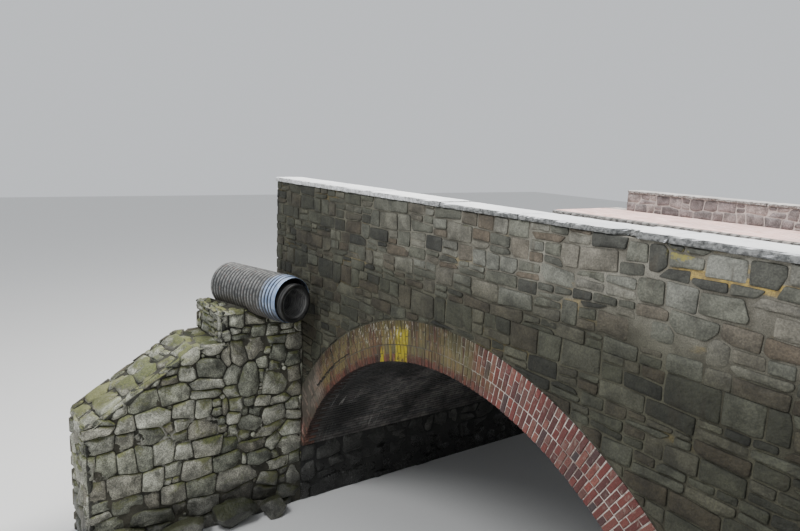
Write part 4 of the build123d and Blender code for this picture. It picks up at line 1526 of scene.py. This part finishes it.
def archValues(ring, step, first, seed):
    base = innerRadius if ring == "inner" else innerRadius + outerStart
    count = round(archSweep * base / (brick["thick"] + brick["joint"]))
    return {
        "Joint": brick["joint"], "Arch Height": archZ, "Start Angle": springAngle, "Course Angle": archSweep / count,
        "Courses": (count - first + step - 1) // step, "First Course": first, "Course Step": step, "Seed": seed,
        "Material": materials["archBrick"],
    }


for end, faceY, away in ends:
    heap = Heap()
    node = f"{end}_arch_ring"
    coreOf(heap, node, [setBack(1, faceY, -away * brick["faceBack"]), setBackSoffit(brick["soffitBack"])])
    for number, (first, fromSoffit, radial, through, ring) in enumerate(ringLanes):
        low, high = sorted((faceY, faceY - away * through))
        size = (brick["thick"], through, radial)
        heap.addMesh(runTree(archTree, "lane", {
            **archValues(ring, 2, first, 300 + number + (50 if end == "far" else 0)),
            "Brick Shape": shapeFor(f"brick{int(radial * 1000)}x{int(through * 1000)}", size, arris=0.0045, cuts=2),
            "Brick Length": through, "Radius": innerRadius + fromSoffit + radial / 2, "Row Start": low,
            "Row End": high, "Step": 0.003, "Wobble": 0.014, "Wear": 0.0045, "Worn Left": -away * 0.02,
        }), 1)
    soffit = shapeFor("soffitBrick", (brick["thick"], 1.0, 0.03))
    for first, start in ((0, brick["wide"]), (1, brick["long"])):
        low, high = sorted((faceY - away * (start + brick["joint"]), faceY - away * (ringBond - brick["joint"])))
        heap.addMesh(runTree(archTree, "soffit", {
            **archValues("inner", 2, first, 340 + first), "Brick Shape": soffit, "Brick Length": 1.0,
            "Radius": innerRadius + brick["soffitMiddle"], "Row Start": low, "Row End": high, "Wear": 0.003,
            "Step": 0.0,
        }), 2)
    heap.makePiece(f"{end}ArchBricks", ["archMortar", "archBrick", "vaultBrick"], node)

heap = Heap()
coreOf(heap, "barrel_vault", [setBackSoffit(brick["soffitBack"])])
vaultLow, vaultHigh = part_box("barrel_vault")
slab = shapeFor("vaultBrick", (brick["thick"], brick["long"], brick["vaultThick"]), arris=0.005, frontOnly=True)
vaultRows = int((vaultHigh.y - vaultLow.y) / (brick["long"] + brick["joint"])) + 2
heap.addMesh(runTree(archTree, "vault", {
    **archValues("inner", 1, 0, 380), "Brick Shape": slab, "Brick Length": brick["long"],
    "Radius": innerRadius + brick["vaultMiddle"], "Rows": vaultRows, "Row Start": vaultLow.y,
    "Row End": vaultHigh.y,
    "Row Shift": (brick["long"] + brick["joint"]) / 2, "Step": 0.0, "Wobble": 0.004, "Wear": 0.004,
    "Material": materials["vaultBrick"],
}), 1)
heap.makePiece("vaultBricks", ["vaultMortar", "vaultBrick"], "barrel_vault")
print("arch bricks laid")

paving = {"long": 0.203, "wide": 0.1, "thick": 0.06, "joint": 0.006}
pavingLow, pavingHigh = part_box("brick_footway")
rows = round((pavingHigh.y - pavingLow.y) / (paving["wide"] + paving["joint"]))
rowWidth = (pavingHigh.y - pavingLow.y) / rows
paver = shapeFor("paver", (paving["long"], rowWidth - paving["joint"], 0.05), arris=0.004)
heap = Heap()
coreOf(heap, "brick_footway", [setBack(2, pavingHigh.z, -0.008)])
heap.addMesh(runTree(pavingTree, "pavers", {
    "Brick Shape": paver, "Brick Length": paving["long"], "Joint": paving["joint"], "Row Width": rowWidth,
    "Rows": rows, "Along": int(2 * bridgeEnd / (paving["long"] + paving["joint"])) + 2, "Step": 0.004,
    "Corner": (pavingLow.x + 0.003, pavingLow.y, pavingHigh.z - 0.026), "Right End": pavingHigh.x - 0.003,
    "Wobble": 0.006, "Wear": 0.0016, "Seed": 411, "Material": materials["paving"],
}), 1)
heap.makePiece("footwayBricks", ["farMortar", "paving"], "brick_footway")
print("footway laid")


# slabs with rough quarry edges


def roughSlab(heap, low, high, s, seed, notch=None):
    rng = random.Random(seed)
    counts = [max(2, round((high[k] - low[k]) / s["cell"][k])) for k in range(3)]
    shift = Vector((rng.uniform(0, 30), rng.uniform(0, 30), rng.uniform(0, 30)))
    box = bmesh.new()
    grid = {}

    def vertexAt(i, j, k):
        if (i, j, k) in grid:
            return grid[i, j, k]
        t = [index / count for index, count in zip((i, j, k), counts)]
        p = Vector(low[n] + (high[n] - low[n]) * t[n] for n in range(3))
        at = p.copy()
        edges = [(n, 1 if t[n] > 0.99 else -1) for n in range(3) if t[n] < 0.01 or t[n] > 0.99]
        for n, way in edges:
            depth = s["edge"][n] * (0.5 + 0.75 * noise.fractal(at * s["roughScale"] + shift * (n + 1), 0.8, 2.0, 3))
            p[n] -= way * max(0.0, depth)
        if len(edges) > 1:
            for n, way in edges:
                p[n] -= way * s["arris"]
        if notch and notch(at.x) > 0:
            p.y += notch(at.x) * (1 - t[1]) + (0.018 * (1 + noise.noise(at * 34)) if j == 0 else 0)
        grid[i, j, k] = box.verts.new(p)
        return grid[i, j, k]

    for axis in range(3):
        a, b = [n for n in range(3) if n != axis]
        for side in (0, counts[axis]):
            for i in range(counts[a]):
                for j in range(counts[b]):
                    corners = []
                    for da, db in ((0, 0), (1, 0), (1, 1), (0, 1)):
                        key = [0, 0, 0]
                        key[axis], key[a], key[b] = side, i + da, j + db
                        corners.append(vertexAt(*key))
                    box.faces.new(corners)
    bmesh.ops.recalc_face_normals(box, faces=box.faces)
    box.verts.index_update()
    heap.add([tuple(v.co) for v in box.verts], [[v.index for v in f.verts] for f in box.faces], 0, False,
             rng.random(), rng.random())
    box.free()


flagSlab = {"cell": (0.06, 0.06, 0.019), "edge": (0.004, 0.03, 0.003), "arris": 0.006, "roughScale": 10}
brokenCorner = {"after": 5, "left": 0.09, "right": 0.13, "depth": 0.085, "cell": (0.025, 0.05, 0.019)}


def brokenEdge(jointX, toLeft):
    # how far a flag's front edge stands back near the joint where both corners are broken off
    reach = brokenCorner["left"] if toLeft else brokenCorner["right"]

    def notch(x):
        away = jointX - x if toLeft else x - jointX
        return brokenCorner["depth"] * max(0.0, 1 - (away / reach) ** 1.4) if away < reach else 0.0
    return notch


for prefix, count in (("near", 7), ("far", 5)):
    for number in range(1, count + 1):
        node = f"{prefix}_coping_flag_{number}"
        low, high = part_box(node)
        heap = Heap()
        notch, style = None, flagSlab
        if prefix == "near" and number - brokenCorner["after"] in (0, 1):
            toLeft = number == brokenCorner["after"]
            notch = brokenEdge(high.x if toLeft else low.x, toLeft)
            style = {**flagSlab, "cell": brokenCorner["cell"]}
        roughSlab(heap, low, high, style, 500 + number + (20 if prefix == "far" else 0), notch)
        heap.makePiece(f"{prefix}Flag{number}", [f"{prefix}Flag"], node)

kerb = {"count": 52, "joint": 0.012, "cell": (0.06, 0.05, 0.04), "edge": (0.004, 0.026, 0.005), "arris": 0.012,
        "roughScale": 12}
heap = Heap()
pitch = 2 * bridgeEnd / kerb["count"]
for number in range(kerb["count"]):
    left = -bridgeEnd + number * pitch
    low = Vector((left + kerb["joint"] / 2, kerbLow.y, kerbLow.z))
    high = Vector((left + pitch - kerb["joint"] / 2, kerbHigh.y, kerbHigh.z))
    roughSlab(heap, low, high, kerb, 540 + number)
heap.makePiece("kerbBlocks", ["kerb"], "kerb_stones")
print("flags and kerb cut")


# the drain pipe

sleeveLow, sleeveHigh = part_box("drain_pipe_sleeve")
linerLow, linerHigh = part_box("drain_pipe_liner")
sleeve = {"skew": math.radians(15), "mouthX": -2.96, "fromFace": 0.46, "band": 0.075, "pitch": 0.068, "wave": 0.008,
          "wall": 0.006, "sides": 72, "stepsPerWave": 6}
sleeve["radius"] = (sleeveHigh.z - sleeveLow.z) / 2 - sleeve["wave"]
liner = {"reach": 0.08, "pitch": 0.045, "wave": 0.004, "bore": 0.213, "sides": 56, "stepsPerWave": 4}
liner["radius"] = (linerHigh.z - linerLow.z) / 2 - liner["wave"]
heading = Vector((math.cos(sleeve["skew"]), math.sin(sleeve["skew"]), 0))
mouth = Vector((sleeve["mouthX"], nearFace - sleeve["fromFace"], (sleeveLow.z + sleeveHigh.z) / 2))
plainRadius = sleeve["radius"] - sleeve["wave"]
pipeLength = (mouth.x + bridgeEnd - plainRadius * math.sin(sleeve["skew"])) / math.cos(sleeve["skew"]) - 0.001
linerAxis = Vector((mouth.x, mouth.y, (linerLow.z + linerHigh.z) / 2))
materials["steel"] = steelMaterial(sleeve["mouthX"])
materials["plastic"] = plasticMaterial(linerAxis, liner["bore"])


def buildPipeTree():
    # a ribbed tube along z, from its mouth at 0 down to its length
    tree, add, i = newTree("ribbedPipe", "Geometry", [
        ("Geometry", "Geometry"), ("Radius", "Float", 0.3), ("Wave Height", "Float", 0.01), ("Pitch", "Float", 0.07),
        ("Band", "Float", 0.1), ("Length", "Float", 1.0), ("Groove", "Float", 0.004), ("Groove Depth", "Float", 0.0),
        ("Sides", "Int", 64), ("Rings", "Int", 100), ("Material", "Material"),
    ], [("Geometry", "Geometry")])
    tube = add("GeometryNodeMeshCylinder", {
        "Vertices": i["Sides"], "Side Segments": i["Rings"], "Radius": 1.0, "Depth": i["Length"],
    }, fill_type="NONE").outputs["Mesh"]
    at = partsOf(add("GeometryNodeInputPosition").outputs[0])
    fromMouth = minus(times(i["Length"], 0.5), at["Z"])
    past = calc("MAXIMUM", minus(fromMouth, i["Band"]), 0.0)
    wave = minus(0.0, calc("COSINE", times(calc("DIVIDE", past, i["Pitch"]), 2 * math.pi)))
    fine = times(calc("SINE", calc("DIVIDE", fromMouth, i["Groove"])), i["Groove Depth"])
    plain = calc("LESS_THAN", fromMouth, i["Band"])
    radius = plus(i["Radius"], times(wave, i["Wave Height"]), times(plain, fine))
    place = combined(times(at["X"], radius), times(at["Y"], radius), minus(0.0, fromMouth))
    tube = stored(tube, "rib", plus(wave, times(plain, 2.0)))
    tube = add("GeometryNodeSetPosition", {"Geometry": tube, "Position": place}).outputs[0]
    tube = add("GeometryNodeRealizeInstances", {"Geometry": tube}).outputs[0]
    tube = add("GeometryNodeSetMaterial", {"Geometry": tube, "Material": i["Material"]}).outputs[0]
    add("NodeGroupOutput", {"Geometry": tube})
    return tree


def placeAlong(mesh, start):
    # the tube's z turns into the pipe's heading
    side = Vector((0, 0, 1)).cross(heading)
    mesh.transform(Matrix.Translation(start) @ Matrix((side, heading.cross(side), heading)).transposed().to_4x4())


def finishTube(name, mesh, wall, material, node):
    mesh.polygons.foreach_set("use_smooth", [True] * len(mesh.polygons))
    tube = placeObject(name, mesh)
    mesh.materials.clear()
    mesh.materials.append(material)
    thicken = tube.modifiers.new("wall", "SOLIDIFY")
    thicken.thickness = wall
    thicken.offset = -1
    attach(tube, "root")
    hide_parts(node)


pipeTree = buildPipeTree()
sleeveMesh = runTree(pipeTree, "sleeve", {
    "Radius": sleeve["radius"], "Wave Height": sleeve["wave"], "Pitch": sleeve["pitch"], "Band": sleeve["band"],
    "Length": pipeLength, "Sides": sleeve["sides"], "Groove Depth": 0.0015,
    "Rings": int(pipeLength / sleeve["pitch"] * sleeve["stepsPerWave"]), "Material": materials["steel"],
})
placeAlong(sleeveMesh, mouth)
finishTube("ribbedSleeve", sleeveMesh, sleeve["wall"], materials["steel"], "drain_pipe_sleeve")
linerLength = pipeLength + liner["reach"]
linerMesh = runTree(pipeTree, "liner", {
    "Radius": liner["radius"], "Wave Height": liner["wave"], "Pitch": liner["pitch"], "Band": 0.0,
    "Length": linerLength, "Sides": liner["sides"],
    "Rings": int(linerLength / liner["pitch"] * liner["stepsPerWave"]), "Material": materials["plastic"],
})
placeAlong(linerMesh, linerAxis + heading * liner["reach"])
finishTube("ribbedLiner", linerMesh, liner["radius"] - liner["bore"], materials["plastic"], "drain_pipe_liner")

heap = Heap()
coreOf(heap, "pipe_bed", [setBack(0, -halfSpan, -0.05), setBack(1, bedLow.y, 0.05), setBack(0, -bridgeEnd, 0.03),
                          setBack(2, bedHigh.z, -0.045), setBack(2, bedLow.z, -0.06)], 3)
bedStyle = {**boulders, "courseHeight": (0.14, 0.24), "stoneLength": (0.18, 0.34), "lift": -0.012, "edge": 0.03}
crossing = mouth.y + (-halfSpan - mouth.x) / heading.x * heading.y
layFace(heap, Plane((-halfSpan, bedLow.y, bedLow.z), (0, 1, 0)), bedHigh.y - bedLow.y,
        bedHigh.z - bedLow.z, bedStyle, 81,
        circle=((crossing - bedLow.y, mouth.z - bedLow.z), sleeve["radius"] + 0.02))
layFace(heap, Plane((-bridgeEnd, bedLow.y, bedLow.z), (1, 0, 0)), bridgeEnd - halfSpan,
        bedHigh.z - bedLow.z, bedStyle, 82)
crossing = mouth.y + (-bridgeEnd - mouth.x) / heading.x * heading.y
layEnd(heap, -1, bedLow.z, bedHigh.z, bedLow.y, bedHigh.y, 83,
       ((bedHigh.y - crossing, mouth.z - bedLow.z), sleeve["radius"] + 0.035))
for way in (-1, 1):
    # its top, on each side of the pipe
    normal = Vector((-heading.y, heading.x)) * -way
    keepClear = math.sqrt(sleeve["radius"]**2 - (mouth.z - bedHigh.z) ** 2) + 0.02
    start = (mouth.x + bridgeEnd - normal.x * keepClear, mouth.y - bedLow.y - normal.y * keepClear)
    layFace(heap, Plane((-bridgeEnd, bedLow.y, bedHigh.z), (1, 0, 0), (0, 1, 0)), bridgeEnd - halfSpan,
            bedHigh.y - bedLow.y, {**bedStyle, "limit": 0.0, "lift": -0.02, "depth": 0.07}, 84,
            [(start, (normal.x, normal.y))])
heap.makePiece("pipeBedStones", ["deepJoint", "boulder", "backing", "backingMortar"], "pipe_bed")
print("pipe made")


# nodes that keep their own shape get their finish

for node, material in (("road_slab", "asphalt"), ("footway_base", "backingMortar")):
    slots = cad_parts[node].data.materials
    slots.clear()
    slots.append(materials[material])
for helper in shapes.values():
    bpy.data.objects.remove(helper)


# camera, floor and light

cameraPlace = {"place": (5.499, -8.968, 5.766), "yaw": -54.66, "pitch": 10.28, "roll": 2.33, "focalPixels": 668.6,
               "pixelsAcross": 800}


def makeCamera(s):
    yaw, pitch, roll = (math.radians(s[key]) for key in ("yaw", "pitch", "roll"))
    forward = Vector((math.sin(yaw) * math.cos(pitch), math.cos(yaw) * math.cos(pitch), -math.sin(pitch)))
    flatRight = Vector((math.cos(yaw), -math.sin(yaw), 0))
    flatUp = flatRight.cross(forward)
    right = math.cos(roll) * flatRight + math.sin(roll) * flatUp
    up = -math.sin(roll) * flatRight + math.cos(roll) * flatUp
    data = bpy.data.cameras.new("camera")
    data.sensor_fit = "HORIZONTAL"
    data.sensor_width = 36
    data.lens = s["focalPixels"] * data.sensor_width / s["pixelsAcross"]
    data.clip_end = 200
    data.dof.use_dof = False
    camera = placeObject("camera", data)
    camera.matrix_world = Matrix.Translation(s["place"]) @ Matrix((right, up, -forward)).transposed().to_4x4()
    bpy.context.scene.camera = camera


def areaLight(name, place, target, size, power, colour):
    data = bpy.data.lights.new(name, "AREA")
    data.shape = "DISK"
    data.size = size
    data.energy = power
    data.color = colour
    light = placeObject(name, data)
    light.location = place
    light.rotation_euler = (Vector(target) - Vector(place)).to_track_quat("-Z", "Y").to_euler()


studio = {
    "sky": (0.9, 0.93, 0.97), "skyStrength": 0.8,
    "top": {"place": (-3, 1, 16), "target": (0, 0, 3), "size": 8, "power": 4700, "colour": (1.0, 0.98, 0.94)},
    "front": {"place": (0, -13, 13), "target": (-1, -3, 2), "size": 5, "power": 1100, "colour": (0.98, 0.99, 1.0)},
}
makeCamera(cameraPlace)
world = bpy.data.worlds.new("studioSky")
bpy.context.scene.world = world
world.use_nodes = True
background = world.node_tree.nodes["Background"]
background.inputs[0].default_value = (*studio["sky"], 1)
background.inputs[1].default_value = studio["skyStrength"]
for name in ("top", "front"):
    light = studio[name]
    areaLight(name + "Light", light["place"], light["target"], light["size"], light["power"], light["colour"])

floorReach = 60
floorMesh = bpy.data.meshes.new("floor")
floorMesh.from_pydata([(x * floorReach, y * floorReach, 0) for x, y in ((-1, -1), (1, -1), (1, 1), (-1, 1))], [],
                      [(0, 1, 2, 3)])
floorMesh.materials.append(finishMaterial(newMaterial("paleFloor")[0], (0.72, 0.72, 0.71, 1), 0.9))
placeObject("floor", floorMesh)
